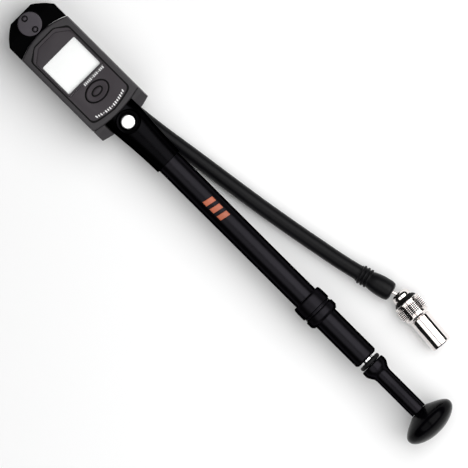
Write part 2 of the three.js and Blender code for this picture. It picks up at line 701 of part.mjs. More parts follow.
// ---- Barrel -----------------------------------------------------------------------------------
function addBarrel() {
  const { x0, splitX, x1, bore, radius, lowerRadius } = BARREL;
  add("outer_barrel", tubeX(x0, splitX, bore, radius), MATERIALS.anodised);
  const cylinder = tubeX(CYLINDER.x0, CYLINDER.x1, CYLINDER.bore, CYLINDER.radius);
  add("pressure_cylinder", cylinder, MATERIALS.anodised);
  const lip = { x: x1 - 2.2, bore: ROD_RADIUS + GAP, chamferX: x1 - 1.1, radius: 5.6 };
  const lower = turnedX([
    [splitX + GAP, bore],
    [splitX + GAP, lowerRadius],
    [lip.chamferX, lowerRadius],
    [x1, lip.radius],
    [x1, lip.bore],
    [lip.x, lip.bore],
    [lip.x, bore],
    [splitX + GAP, bore],
  ]);
  add("lower_barrel", lower, MATERIALS.anodised);
}

// The collar and the ring that holds it meet in a groove.
function addCollar() {
  const bore = BARREL.radius + 0.2;
  const { x0, grooveX, x1, radius, grooveRadius, endRadius } = COLLAR;
  const groove = { half: 0.8, slope: 1.1 };
  const collar = turnedX([
    [x0, bore],
    [x0, radius - 0.6],
    [x0 + 0.8, radius],
    [grooveX - groove.slope, radius],
    [grooveX - groove.half, grooveRadius],
    [grooveX - 0.1, grooveRadius],
    [grooveX - 0.1, bore],
    [x0, bore],
  ]);
  add("barrel_collar", collar, MATERIALS.rubber);
  const ring = turnedX([
    [grooveX + 0.1, bore],
    [grooveX + 0.1, grooveRadius],
    [grooveX + groove.half, grooveRadius],
    [grooveX + groove.slope, radius],
    [x1 - 1.7, radius],
    [x1, endRadius],
    [x1, bore],
    [grooveX + 0.1, bore],
  ]);
  add("retaining_ring", ring, MATERIALS.rubber);
}

// What the rod runs in, from the mouth of the barrel inwards.
function addRodBearing() {
  const rodBore = ROD_RADIUS + ROD_CLEARANCE;
  const mouthX = BARREL.x1 - 2.4;
  add("rod_wiper", tubeX(97.6, mouthX, rodBore, 5.8, MEDIUM), MATERIALS.rubber);
  add("rod_guide", tubeX(86, CYLINDER.x1 - 0.1, rodBore, PISTON.radius, MEDIUM), MATERIALS.brass);
  add("top_out_bumper", tubeX(83.4, 85.8, rodBore + 0.05, 4.8, MEDIUM), MATERIALS.rubber);
}

// ---- Piston, rod and handle ---------------------------------------------------------------------
function addPiston() {
  const { x0, x1, radius, sealX0, sealX1, sealSeat } = PISTON;
  const piston = turnedX(
    [
      [x0, 0],
      [x0, radius],
      [sealX0, radius],
      [sealX0, sealSeat],
      [sealX1, sealSeat],
      [sealX1, radius],
      [x1, radius],
      [x1, 0],
    ],
    MEDIUM,
  );
  add("piston_head", piston, MATERIALS.brass);
  const seal = tubeX(sealX0 + 0.2, sealX1 - 0.2, sealSeat + 0.15, CYLINDER.bore - 0.1, MEDIUM);
  add("piston_seal", seal, MATERIALS.rubber);
  const rod = rodX(x1 + 0.1, HANDLE.socketX - 0.5, ROD_RADIUS, MEDIUM);
  add("piston_rod", rod, MATERIALS.chrome);
}

function addHandle() {
  const rodBore = ROD_RADIUS + ROD_CLEARANCE;
  const bumper = turnedX(
    [
      [103.2, rodBore],
      [103.2, 6],
      [103.7, 6.6],
      [105.3, 6.6],
      [105.8, 6],
      [105.8, rodBore],
      [103.2, rodBore],
    ],
    MEDIUM,
  );
  add("bump_stop", bumper, MATERIALS.rubber);

  const { x0, stem, flange, socketX, stemEndX, spigotX } = HANDLE;
  const grip = turnedX([
    [x0, rodBore],
    [x0, flange - 0.7],
    [x0 + 0.6, flange],
    [x0 + 3.6, flange],
    [x0 + 5.2, 6.2],
    [x0 + 6.8, 5.05],
    [x0 + 8, stem],
    [stemEndX, stem],
    [stemEndX, SPIGOT_RADIUS],
    [spigotX, SPIGOT_RADIUS],
    [spigotX, 0],
    [socketX, 0],
    [socketX, rodBore],
    [x0, rodBore],
  ]);
  add("handle_stem", grip, MATERIALS.rubber);

  const knobBore = SPIGOT_RADIUS + 0.2;
  const knob = turnedX(
    [
      [141.2, knobBore],
      [141.2, 5.3],
      [142.6, 8.2],
      [144, 11],
      [145.6, 13.4],
      [147.3, 15.1],
      [149.1, KNOB_RADIUS],
      [151, 15.1],
      [153, 13.3],
      [154.8, 10.2],
      [156, 6.7],
      [156.55, 3.2],
      [PUMP_END_X, 0],
      [spigotX + GAP, 0],
      [spigotX + GAP, knobBore],
      [141.2, knobBore],
    ],
    KNOB_SIDES,
  );
  add("handle_knob", knob, MATERIALS.rubber);
}

// ---- Hose and chuck -----------------------------------------------------------------------------
function addHose() {
  const route = HOSE_ROUTE.map((point) => new THREE.Vector3(...point));
  const section = new THREE.Shape().absarc(0, 0, HOSE_RADIUS, 0, 2 * Math.PI, false);
  const geometry = new THREE.ExtrudeGeometry(section, {
    steps: HOSE_ROUTE.length - 1,
    curveSegments: 6,
    extrudePath: new THREE.CatmullRomCurve3(route),
  });
  add("hose", solidOf(geometry), MATERIALS.rubber);
}

function addFerrule(hoseStart) {
  const pivot = new THREE.Vector3(SWIVEL_X, 0, ELBOW.z);
  const group = groupAlong(pivot, new THREE.Vector3(hoseStart.x, hoseStart.y, ELBOW.z));
  const x0 = ELBOW.reach + GAP;
  const x1 = hoseStart.x - SWIVEL_X - GAP;
  const bore = 1.4;
  const ferrule = turnedX(
    [
      [x0, bore],
      [x0, 4],
      [x0 + 0.6, ELBOW.outletRadius],
      [x1 - 0.8, ELBOW.outletRadius],
      [x1, HOSE_RADIUS],
      [x1, bore],
      [x0, bore],
    ],
    MEDIUM,
    0,
    0,
  );
  add("hose_ferrule", ferrule, MATERIALS.steel, group);
}

// The moulded boot has three ridges and swells before it closes on the ball's stem.
function addBoot(hoseEnd) {
  const group = groupAlong(hoseEnd, BALL.at);
  const ridge = { valley: 4.3, crest: 4.8 };
  const ridges = [0.8, 2.7, 4.6].flatMap((x) => [
    [x, ridge.valley],
    [x + 0.3, ridge.crest],
    [x + 1.2, ridge.crest],
    [x + 1.5, ridge.valley],
  ]);
  const end = { x: 19.2, bore: 1.7, boreX: 11 };
  const boot = turnedX(
    [
      [GAP, 0],
      [GAP, 4.2],
      ...ridges,
      [6.6, 4.6],
      [9, 5.05],
      [13.5, 5.25],
      [17.2, 5.1],
      [18.6, 4.5],
      [end.x, 3.6],
      [end.x, end.bore],
      [end.boreX, end.bore],
      [end.boreX, 0],
    ],
    MEDIUM,
    0,
    0,
  );
  add("hose_boot", boot, MATERIALS.rubber, group);

  const toBall = BALL.at.distanceTo(hoseEnd);
  const ball = new THREE.SphereGeometry(BALL.radius, COARSE, 10);
  ball.rotateZ(-Math.PI / 2);
  ball.translate(toBall, 0, 0);
  const airway = rodX(0, toBall + 4, 0.5, 8, 0, 0);
  const stem = rodX(end.boreX + GAP, toBall, BALL.stem, COARSE, 0, 0);
  add("ball_stem", stem.add(solidOf(ball)).subtract(airway), MATERIALS.chrome, group);
}

function addCup(group) {
  const { stem, radius, x1, mouthX, mouthRadius, airway } = CUP;
  const body = turnedX(
    [
      [-2.5, 0],
      [-2.5, stem],
      [-1.2, 5],
      [-0.2, radius],
      [2.4, radius],
      [2.9, 5],
      [3.1, stem],
      [x1, stem],
      [x1, 0],
    ],
    MEDIUM,
    0,
    0,
  );
  const seat = new THREE.SphereGeometry(BALL.radius + GAP, COARSE, 10);
  seat.rotateZ(-Math.PI / 2);
  const mouth = turnedX(
    [
      [-6, 0],
      [-6, 5],
      [mouthX, mouthRadius],
      [0, mouthRadius],
      [0, 0],
    ],
    MEDIUM,
    0,
    0,
  );
  const bore = rodX(0, x1 + 8, airway, COARSE, 0, 0);
  add("chuck_cup", without(body, [solidOf(seat), mouth, bore]), MATERIALS.chrome, group);
}

function addChuckCollar(group) {
  const { x0, x1, radius, rim, bore } = CHUCK_COLLAR;
  const collar = turnedX(
    [
      [x0, bore],
      [x0, rim - 0.5],
      [x0 + 0.4, rim],
      [x0 + 1.4, rim],
      [x0 + 1.7, rim - 0.7],
      [x0 + 2, radius],
      [x0 + 7.9, radius],
      [x0 + 8.3, 7.1],
      [x0 + 8.9, 7.1],
      [x1 - 0.4, 6.6],
      [x1, 6],
      [x1, bore],
      [x0, bore],
    ],
    FINE,
    0,
    0,
  );
  add("chuck_collar", collar, MATERIALS.chrome, group);
}

function addSleeve(group) {
  const { x0, x1, radius, bore, socketX, socketRadius } = SLEEVE;
  const sleeve = turnedX(
    [
      [x0, bore],
      [x0, radius - 0.4],
      [x0 + 0.5, radius],
      [x1 - 0.6, radius],
      [x1, radius - 0.5],
      [x1, socketRadius],
      [socketX, socketRadius],
      [socketX, bore],
      [x0, bore],
    ],
    MEDIUM,
    0,
    0,
  );
  add("chuck_sleeve", sleeve, MATERIALS.chrome, group);
  const gasket = tubeX(GASKET.x0, GASKET.x1, GASKET.bore, GASKET.radius, COARSE, 0, 0);
  add("chuck_gasket", gasket, MATERIALS.rubber, group);
}

function addChuck() {
  const group = new THREE.Group();
  group.position.copy(BALL.at);
  group.rotation.z = CHUCK_ANGLE;
  pump.add(group);
  addCup(group);
  addChuckCollar(group);
  addSleeve(group);
  const pin = rodX(PIN.x0, PIN.x1, PIN.radius, COARSE, 0, 0);
  add("depressor_pin", pin, MATERIALS.brass, group);
}

// ---- Assembly -----------------------------------------------------------------------------------
const hoseStart = new THREE.Vector3(...HOSE_ROUTE[0]);
const hoseEnd = new THREE.Vector3(...HOSE_ROUTE[HOSE_ROUTE.length - 1]);
addEndBlock();
addSwivel();
addElbow(hoseStart);
addRearShell();
addFrontShell();
addPanel();
addModeButton();
addElectronics();
addBattery();
addScrews();
addNeck();
addBleedValve();
addCheckValve();
addBarrel();
addCollar();
addRodBearing();
addPiston();
addHandle();
addFerrule(hoseStart);
addHose();
addBoot(hoseEnd);
addChuck();

export default pump;
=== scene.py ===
"""Looks of the suspension pump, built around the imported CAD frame. Shapes are drawn in
millimetres in the pump's own frame: X from the gauge head to the knob, Z up out of the display,
Y towards the hose."""
import json
import math

import bmesh
import bpy
from mathutils import Matrix, Vector


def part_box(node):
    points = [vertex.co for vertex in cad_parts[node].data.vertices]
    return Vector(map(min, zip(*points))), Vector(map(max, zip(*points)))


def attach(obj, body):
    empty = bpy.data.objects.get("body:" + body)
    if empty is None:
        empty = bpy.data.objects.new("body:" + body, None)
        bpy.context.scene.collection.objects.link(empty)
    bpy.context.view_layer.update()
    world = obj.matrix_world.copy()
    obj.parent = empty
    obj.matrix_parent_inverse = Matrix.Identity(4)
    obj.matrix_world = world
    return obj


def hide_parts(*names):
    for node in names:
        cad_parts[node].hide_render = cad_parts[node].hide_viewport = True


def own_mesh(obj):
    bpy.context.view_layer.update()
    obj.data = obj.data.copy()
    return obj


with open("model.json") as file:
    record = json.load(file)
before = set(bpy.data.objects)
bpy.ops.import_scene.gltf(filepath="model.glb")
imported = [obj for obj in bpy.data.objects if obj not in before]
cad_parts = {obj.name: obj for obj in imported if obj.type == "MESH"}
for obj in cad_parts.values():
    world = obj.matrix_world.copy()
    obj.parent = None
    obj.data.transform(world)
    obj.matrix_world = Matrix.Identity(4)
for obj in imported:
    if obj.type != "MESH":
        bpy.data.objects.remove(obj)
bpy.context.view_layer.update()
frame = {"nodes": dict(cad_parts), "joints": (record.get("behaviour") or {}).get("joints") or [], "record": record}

MM = 0.001
TURN = 2 * math.pi
QUARTER = math.pi / 2
ROUND_SIDES = 96
WELD = 0.0005  # points nearer than this are one

JOINTS = {joint["name"]: joint for joint in frame["joints"]}


# ---- Sizes, in millimetres, that the pieces share --------------------------------------------
def box_mm(node):
    low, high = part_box(node)
    return low / MM, high / MM


KNOB_LOW, KNOB_HIGH = box_mm("handle_knob")
AXIS_Z = (KNOB_LOW.z + KNOB_HIGH.z) / 2
SWIVEL_X = JOINTS["hose_swing"]["pos_m"][0] / MM
BALL = Vector(JOINTS["chuck_tilt"]["pos_m"]) / MM
CHUCK_AXIS = Vector(JOINTS["sleeve_spin"]["axis"])
END_LOW, END_HIGH = box_mm("end_block")
REAR_LOW, REAR_HIGH = box_mm("rear_shell")
FRONT_LOW, FRONT_HIGH = box_mm("front_shell")
HEAD_HALF_WIDTH = END_HIGH.y
NOSE_X = END_LOW.x
NOSE_HALF_FLAT = 7.45
NOSE_CORNER_X = -148.0
SHOULDER_X = REAR_HIGH.x
TOP_ARC = (-102.9, 39.5)  # centre x and radius of the front shell's end at the swivel
LOW_ARC = (-150.9, 67.5)  # the same at the neck
PANEL_X = (-138.6, -86.1)
PANEL_HALF_WIDTH = 13.2
WINDOW = (-128.3, -108.5, 11.95)  # both ends and the half width
BUTTON_X = -99.2
BLEED_X = -76.2
BARREL_RADIUS = 7.1
NECK_END_X = -46.0

HOSE_DIAMETER = 8.2
HOSE_SKIN = 0.04
HOSE_ROUTE = [
    (-131.2, 1.2, 4.7),
    (-119.5, 2.1, 4.55),
    (-107, 3.1, 4.35),
    (-94.5, 4.15, 4.2),
    (-82, 5.2, 4.15),
    (-69.5, 6.45, 4.15),
    (-57, 8.05, 4.15),
    (-44.5, 9.95, 4.15),
    (-32, 11.8, 4.2),
    (-19.5, 13.6, 4.3),
    (-7, 15.4, 4.45),
    (5.5, 17.3, 4.65),
    (18, 19.4, 4.95),
    (30.5, 21.6, 5.35),
    (43, 23.95, 5.8),
    (55.5, 26.4, 6.3),
    (67.5, 29.2, 6.85),
]


def linked(name, data):
    made = bpy.data.objects.new(name, data)
    bpy.context.scene.collection.objects.link(made)
    return made


# ---- Camera: nearly straight above, rolled so that the pump lies down to the right -------------
def add_camera():
    view_width = 248.0
    distance = 6000.0
    lean = 0.035  # how far it stands towards +Y, as a share of the distance
    roll_degrees = 44.9
    target = Vector((5.5, -2.8, AXIS_Z))
    data = bpy.data.cameras.new("camera")
    data.sensor_width = 36
    data.lens = data.sensor_width * distance / view_width
    data.clip_end = 20
    camera = linked("camera", data)
    roll = Matrix.Rotation(math.radians(roll_degrees), 4, "Z")
    tilt = Matrix.Rotation(-math.atan(lean), 4, "X")
    place = Matrix.Translation((target + Vector((0, lean * distance, distance))) * MM)
    camera.matrix_world = place @ tilt @ roll
    bpy.context.scene.camera = camera


# ---- Materials -------------------------------------------------------------------------------
def shader(name, base, roughness, metallic=0.0, specular=0.5, edge=1.0):
    made = bpy.data.materials.new(name)
    made.use_nodes = True
    node = made.node_tree.nodes["Principled BSDF"]
    node.inputs["Base Color"].default_value = (*base, 1)
    node.inputs["Roughness"].default_value = roughness
    node.inputs["Metallic"].default_value = metallic
    node.inputs["Specular IOR Level"].default_value = specular
    node.inputs["Specular Tint"].default_value = (edge, edge, edge, 1)
    return made, made.node_tree, node


def noise(tree, scale, detail=3.0, stretch=(1, 1, 1)):
    """Noise over the pump's own coordinates, in features per metre."""
    place = tree.nodes.new("ShaderNodeTexCoord")
    mapping = tree.nodes.new("ShaderNodeMapping")
    mapping.inputs["Scale"].default_value = stretch
    texture = tree.nodes.new("ShaderNodeTexNoise")
    texture.inputs["Scale"].default_value = scale
    texture.inputs["Detail"].default_value = detail
    tree.links.new(place.outputs["Object"], mapping.inputs["Vector"])
    tree.links.new(mapping.outputs["Vector"], texture.inputs["Vector"])
    return texture.outputs["Fac"]


def spread(tree, value, low, high):
    """Noise brought to a range; the middle of the noise carries most of it."""
    ramp = tree.nodes.new("ShaderNodeMapRange")
    ramp.inputs["From Min"].default_value = 0.3
    ramp.inputs["From Max"].default_value = 0.7
    ramp.inputs["To Min"].default_value = low
    ramp.inputs["To Max"].default_value = high
    tree.links.new(value, ramp.inputs["Value"])
    return ramp.outputs["Result"]


def tint(tree, node, factor, dark, light):
    mix = tree.nodes.new("ShaderNodeMix")
    mix.data_type = "RGBA"
    mix.inputs["A"].default_value = (*dark, 1)
    mix.inputs["B"].default_value = (*light, 1)
    tree.links.new(factor, mix.inputs["Factor"])
    tree.links.new(mix.outputs["Result"], node.inputs["Base Color"])


def bump(tree, node, height, depth_mm):
    bumped = tree.nodes.new("ShaderNodeBump")
    bumped.inputs["Distance"].default_value = depth_mm * MM
    bumped.inputs["Strength"].default_value = 1
    tree.links.new(height, bumped.inputs["Height"])
    tree.links.new(bumped.outputs["Normal"], node.inputs["Normal"])


def finished(name, base, roughness, grain=900, depth=0.02, shade=0.12, stretch=(1, 1, 1), **more):
    """A material whose colour and gloss vary a little, over a fine surface grain."""
    made, tree, node = shader(name, base, roughness, **more)
    clouds = noise(tree, 60, 2, stretch)
    fine = noise(tree, grain, 4, stretch)
    dark = [channel * (1 - shade) for channel in base]
    light = [min(1, channel * (1 + shade)) for channel in base]
    tint(tree, node, spread(tree, clouds, 0, 1), dark, light)
    wear = spread(tree, fine, roughness * 0.92, min(1, roughness * 1.08))
    tree.links.new(wear, node.inputs["Roughness"])
    bump(tree, node, fine, depth)
    return made


def make_materials():
    fine = dict(grain=1400, depth=0.012)
    anodised = dict(fine, metallic=1.0)
    satin = dict(shade=0.07, specular=0.25)
    plated = dict(depth=0.002, metallic=1.0)
    lathed = dict(stretch=(1, 8, 1), metallic=1.0)
    barrel = dict(grain=1600, depth=0.006, stretch=(0.2, 1, 1), metallic=1.0)
    return {
        "shell_grey": finished("moulded_shell", (0.032, 0.0295, 0.032), 0.5, 1500, 0.035, **satin),
        "panel_grey": finished("panel_satin", (0.031, 0.0255, 0.03), 0.44, 1700, 0.02, **satin),
        "dark_grey": finished(
            "plug_satin", (0.038, 0.032, 0.04), 0.42, 1500, 0.025, 0.08, specular=0.3
        ),
        "gloss_black": finished(
            "piano_black", (0.0012, 0.0012, 0.0014), 0.05, 500, 0.001, specular=0.25
        ),
        "satin_black": finished("neck_satin", (0.0036, 0.0035, 0.004), 0.28, edge=0.12, **anodised),
        "barrel_black": finished(
            "barrel_anodised", (0.0124, 0.0117, 0.0138), 0.3, edge=0.08, **barrel
        ),
        "collar_black": finished(
            "collar_matt", (0.0112, 0.0105, 0.0125), 0.36, edge=0.12, **anodised
        ),
        "handle_black": finished(
            "handle_matt", (0.0108, 0.0101, 0.012), 0.28, edge=0.1, **anodised
        ),
        "knob_black": finished("knob_gloss", (0.001, 0.0009, 0.0014), 0.18, specular=0.04, **fine),
        "hose_rubber": finished(
            "hose_rubber", (0.0024, 0.0023, 0.003), 0.38, 1100, 0.03, specular=0.125
        ),
        "rubber": finished("seal_rubber", (0.004, 0.004, 0.0045), 0.5, specular=0.12, **fine),
        "button_rubber": finished(
            "button_rubber", (0.031, 0.0255, 0.03), 0.5, specular=0.22, **fine
        ),
        # Flat black for the painted shade in grooves, gaps and holes, and for the window's sill and the chuck's
        # cup seal.
        "groove_black": finished("groove_black", (0.003, 0.003, 0.003), 0.6, specular=0.1, **fine),
        "display_white": finished("display_white", (0.93, 0.935, 0.925), 0.4, 3000, 0.002, 0.01),
        "board_green": finished("solder_mask", (0.01, 0.07, 0.025), 0.4),
        "chrome": finished("chrome_plate", (0.8, 0.755, 0.735), 0.05, shade=0.03, **plated),
        "rod_chrome": finished("hard_chrome", (0.78, 0.78, 0.79), 0.1, shade=0.02, **plated),
        "silver": finished(
            "button_silver", (0.95, 0.95, 0.95), 0.34, depth=0.003, shade=0.01, metallic=1.0
        ),
        "steel": finished("bright_steel", (0.5, 0.5, 0.52), 0.3, **lathed),
        "brass": finished("turned_brass", (0.6, 0.42, 0.16), 0.3, **lathed),
        "mark_white": finished("printed_white", (0.75, 0.75, 0.75), 0.5, depth=0.004, shade=0.06),
        "mark_orange": finished("printed_orange", (0.42, 0.1, 0.042), 0.42, 2400, 0.006),
        "lens": clear_lens(),
    }


def clear_lens():
    made, tree, node = shader("clear_lens", (0.95, 0.97, 0.98), 0.04, specular=0.3)
    node.inputs["Alpha"].default_value = 0.08
    bump(tree, node, noise(tree, 120, 1), 0.001)
    return made


# ---- Mesh helpers ------------------------------------------------------------------------------
def mesh_of(name, vertices, faces):
    mesh = bpy.data.meshes.new(name)
    mesh.from_pydata([tuple(Vector(v) * MM) for v in vertices], [], faces)
    return mesh


def clean(mesh):
    """Welds points that meet, and turns every face outwards."""
    work = bmesh.new()
    work.from_mesh(mesh)
    bmesh.ops.remove_doubles(work, verts=work.verts, dist=WELD * MM)
    bmesh.ops.recalc_face_normals(work, faces=work.faces)
    work.to_mesh(mesh)
    work.free()


def settle(name, mesh, look, body, stands_for=(), sharp=32):
    """Makes a mesh a piece, smooth except over edges sharper than the angle given."""
    clean(mesh)
    mesh.shade_smooth()
    mesh.set_sharp_from_angle(angle=math.radians(sharp))
    mesh.materials.clear()
    mesh.materials.append(LOOKS[look])
    made = linked(name, mesh)
    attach(made, body)
    if stands_for:
        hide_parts(*stands_for)
    return made


def piece(name, vertices, faces, look, body, stands_for=(), slot=None, sharp=32):
    return settle(name, mesh_of(name, vertices, faces), look, body, stands_for, sharp)


def softened(profile, closed):
    """Rounds the corners of a profile of (along, radius, fillet) points; 0 keeps a corner sharp."""
    usual_fillet, most, steps = 0.2, 0.45, 4
    made = []
    count = len(profile)
    for i, point in enumerate(profile):
        here = Vector(point[:2])
        fillet = point[2] if len(point) > 2 else usual_fillet
        if not closed and i in (0, count - 1) or fillet == 0:
            made.append(here)
            continue
        before = Vector(profile[i - 1][:2]) - here
        after = Vector(profile[(i + 1) % count][:2]) - here
        reach = min(fillet, before.length * most, after.length * most)
        start = here + before.normalized() * reach
        end = here + after.normalized() * reach
        for step in range(steps + 1):
            t = step / steps
            made.append(start * (1 - t) ** 2 + here * 2 * t * (1 - t) + end * t * t)
    return made


def revolve(profile, matrix, closed=False, sides=ROUND_SIDES):
    """A profile turned about local X. An open one starts and ends on the axis."""
    rings = softened(profile, closed)
    vertices, faces = [], []
    for along, radius in rings:
        radius = max(radius, 1e-4)
        for i in range(sides):
            angle = TURN * i / sides
            around = (along, radius * math.cos(angle), radius * math.sin(angle))
            vertices.append(matrix @ Vector(around))
    count = len(rings)
    for ring in range(count if closed else count - 1):
        first, second = ring * sides, (ring + 1) % count * sides
        for i in range(sides):
            j = (i + 1) % sides
            faces.append((first + i, first + j, second + j, second + i))
    return vertices, faces


def along_x():
    """Local X is the pump's own axis."""
    return Matrix.Translation((0, 0, AXIS_Z))


def upright(x, y=0.0):
    """Local X points up: a profile's first number is then a height."""
    return Matrix.Translation((x, y, 0)) @ Matrix.Rotation(-QUARTER, 4, "Y")


def towards(origin, direction):
    """Local X along the direction, local Z as near to up as it can be."""
    x = Vector(direction).normalized()
    y = Vector((0, 0, 1)).cross(x).normalized()
    z = x.cross(y)
    turned = Matrix((x, y, z)).transposed().to_4x4()
    return Matrix.Translation(origin) @ turned


def turned(
    name, profile, matrix, look, body, stands_for=(), closed=False, slot=None, sides=ROUND_SIDES
):
    vertices, faces = revolve(profile, matrix, closed, sides)
    return piece(name, vertices, faces, look, body, stands_for, slot)


def joined(*parts):
    vertices, faces = [], []
    for more_vertices, more_faces in parts:
        start = len(vertices)
        vertices += more_vertices
        faces += [tuple(start + i for i in face) for face in more_faces]
    return vertices, faces


# ---- Outlines ----------------------------------------------------------------------------------
def arc(cx, cy, rx, start, end, steps=12, ry=None):
    ry = rx if ry is None else ry
    angles = [start + (end - start) * i / steps for i in range(steps + 1)]
    return [(cx + rx * math.cos(angle), cy + ry * math.sin(angle)) for angle in angles]


def bend(start, control, end, steps=10):
    made = []
    for i in range(steps + 1):
        t = i / steps
        shares = ((1 - t) ** 2, 2 * t * (1 - t), t * t)
        rows = list(zip(shares, (start, control, end)))
        made.append(tuple(sum(share * point[k] for share, point in rows) for k in (0, 1)))
    return made


def ellipse(cx, rx, ry, steps=64):
    return arc(cx, 0, rx, 0, TURN, steps, ry)[:-1]


def rectangle(x0, x1, half, corner):
    left, right, up = x0 + corner, x1 - corner, half - corner
    made = []
    for turn, (x, y) in enumerate([(right, up), (left, up), (left, -up), (right, -up)]):
        made += arc(x, y, corner, turn * QUARTER, (turn + 1) * QUARTER, 6)
    return made


def half_angle(radius):
    """Half the angle that an arc on the middle line spans between the head's side walls."""
    return math.asin(HEAD_HALF_WIDTH / radius)


def shell_end(shape, facing, grow=0.0):
    """One of the front shell's curved ends, from side wall to side wall."""
    radius = shape[1] + grow
    half = half_angle(radius)
    return arc(shape[0], 0, radius, facing - half, facing + half, 24)


def shoulder():
    """The head's end at the neck, with its two corners cut off."""
    w = HEAD_HALF_WIDTH
    cut_x, cut_y = 1.5, 5.5
    x = SHOULDER_X
    return [(x - cut_x, -w), (x, cut_y - w), (x, w - cut_y), (x - cut_x, w)]


def end_block_outline():
    w = HEAD_HALF_WIDTH
    swell, gap = 0.9, 0.3
    control = ((NOSE_CORNER_X + NOSE_X) / 2 - swell, (w + NOSE_HALF_FLAT) / 2 + swell)
    upper = bend((NOSE_CORNER_X, w), control, (NOSE_X, NOSE_HALF_FLAT))
    lower = bend((NOSE_X, -NOSE_HALF_FLAT), (control[0], -control[1]), (NOSE_CORNER_X, -w))
    return upper + lower + shell_end(TOP_ARC, math.pi, gap)[::-1]


def front_outline():
    return shell_end(TOP_ARC, math.pi) + shell_end(LOW_ARC, 0)


def rear_outline():
    return shell_end(TOP_ARC, math.pi) + shoulder()


def panel_outline(grow):
    """The panel's edge, moved outwards by grow: chamfered at one end, crowned at the other."""
    w = PANEL_HALF_WIDTH + grow
    x0, x1 = PANEL_X[0] - grow, PANEL_X[1] + grow
    chamfer_x, chamfer_y = x0 + 4.9, 7.3
    corner, crown = 2.2, 3.1
    shoulder_x, shoulder_y = x1 - crown + 0.9, w - corner - 1
    half = (
        [(x0, 0.0)]
        + bend((x0, chamfer_y - 1.2), (x0, chamfer_y), (x0 + 0.9, chamfer_y + 1.1), 5)
        + bend((chamfer_x - 0.8, w - 0.9), (chamfer_x, w), (chamfer_x + 1.3, w), 5)
        + bend((x1 - crown - corner, w), (x1 - crown + 0.2, w), (shoulder_x, shoulder_y), 8)
        + bend((shoulder_x, shoulder_y), (x1 - 1, (w - corner) / 2), (x1 - 0.45, 0.0), 8)[1:]
    )
    return half + [(x, -y) for x, y in reversed(half[1:-1])]


# ---- Plates: an outline with holes, given thickness and rounded edges --------------------------
def plate_mesh(name, outlines, z0, z1, rounding):
    data = bpy.data.curves.new(name, "CURVE")
    data.dimensions = "2D"
    data.fill_mode = "BOTH"
    data.extrude = ((z1 - z0) / 2 - rounding) * MM
    data.bevel_depth = rounding * MM
    data.bevel_resolution = 3
    data.offset = -rounding * MM
    for outline in outlines:
        spline = data.splines.new("POLY")
        spline.points.add(len(outline) - 1)
        for point, (x, y) in zip(spline.points, outline):
            point.co = (x * MM, y * MM, 0, 1)
        spline.use_cyclic_u = True
    made = linked(name + "_outline", data)
    bpy.context.view_layer.update()
    solved = made.evaluated_get(bpy.context.evaluated_depsgraph_get())
    mesh = bpy.data.meshes.new_from_object(solved)
    mesh.name = name
    mesh.transform(Matrix.Translation((0, 0, (z0 + z1) / 2 * MM)))
    bpy.data.objects.remove(made)
    bpy.data.curves.remove(data)
    return mesh


def plate(name, outlines, z0, z1, rounding, look, body, stands_for=(), slot=None):
    mesh = plate_mesh(name, outlines, z0, z1, rounding)
    return settle(name, mesh, look, body, stands_for)


def prism(outline, z0, z1):
    """An outline given a height, with sharp edges."""
    count = len(outline)
    vertices = [(x, y, z0) for x, y in outline] + [(x, y, z1) for x, y in outline]
    faces = [tuple(reversed(range(count))), tuple(range(count, 2 * count))]
    faces += [(i, (i + 1) % count, (i + 1) % count + count, i + count) for i in range(count)]
    return vertices, faces


def trim(made, cuts):
    """Cuts a closed mesh by planes, each a point and a normal, and drops what lies beyond them."""
    work = bmesh.new()
    work.from_mesh(made.data)
    for point, normal in cuts:
        parts = list(work.verts) + list(work.edges) + list(work.faces)
        plane = dict(plane_co=Vector(point) * MM, plane_no=Vector(normal))
        bmesh.ops.bisect_plane(work, geom=parts, clear_outer=True, **plane)
        rim = [edge for edge in work.edges if edge.is_boundary]
        bmesh.ops.holes_fill(work, edges=rim, sides=0)
    work.to_mesh(made.data)
    work.free()


def bevelled(name, mesh, width, angle, look, body, stands_for, segments=2):
    """Makes a mesh a piece, with its edges sharper than the angle rounded to the width."""
    made = settle(name, mesh, look, body, stands_for, sharp=30)
    edges = made.modifiers.new("edges", "BEVEL")
    edges.width = width * MM
    edges.segments = segments
    edges.limit_method = "ANGLE"
    edges.angle_limit = math.radians(angle)
    edges.harden_normals = True
    return made


# ---- Solid shapes for cutting and joining ------------------------------------------------------
def tool(vertices, faces):
    return tool_from(mesh_of("tool", vertices, faces))


def tool_from(mesh):
    """A closed mesh that cuts or joins another, and isn't kept."""
    clean(mesh)
    return linked("tool", mesh)


def carve(base, tools, operation="DIFFERENCE"):
    """Cuts the tools from the base, or joins them to it, for good."""
    for other in tools:
        step = base.modifiers.new("carve", "BOOLEAN")
        step.object = other
        step.operation = operation
        step.solver = "EXACT"
    solved = base.evaluated_get(bpy.context.evaluated_depsgraph_get())
    mesh = bpy.data.meshes.new_from_object(solved)
    base.modifiers.clear()
    old = base.data
    base.data = mesh
    bpy.data.meshes.remove(old)
    for other in tools:
        bpy.data.meshes.remove(other.data)
    return base


def take_mesh(made):
    mesh = made.data
    bpy.data.objects.remove(made)
    return mesh


def drum(x, y, z0, z1, radius, sides=48):
    """A standing cylinder, as a tool."""
    profile = [(z0, 0), (z0, radius, 0), (z1, radius, 0), (z1, 0)]
    return tool(*revolve(profile, upright(x, y), sides=sides))


def bar(x0, x1, radius, sides=64):
    """A cylinder on the pump's own axis, as a tool."""
    profile = [(x0, 0), (x0, radius, 0), (x1, radius, 0), (x1, 0)]
    return tool(*revolve(profile, along_x(), sides=sides))


def ring_loft(loops, closed=False):
    """Joins loops that have the same number of points; closed joins the last to the first."""
    count = len(loops[0])
    vertices = [point for loop in loops for point in loop]
    faces = []
    for k in range(len(loops) if closed else len(loops) - 1):
        a, b = k * count, (k + 1) % len(loops) * count
        faces += [(a + i, a + (i + 1) % count, b + (i + 1) % count, b + i) for i in range(count)]
    return vertices, faces


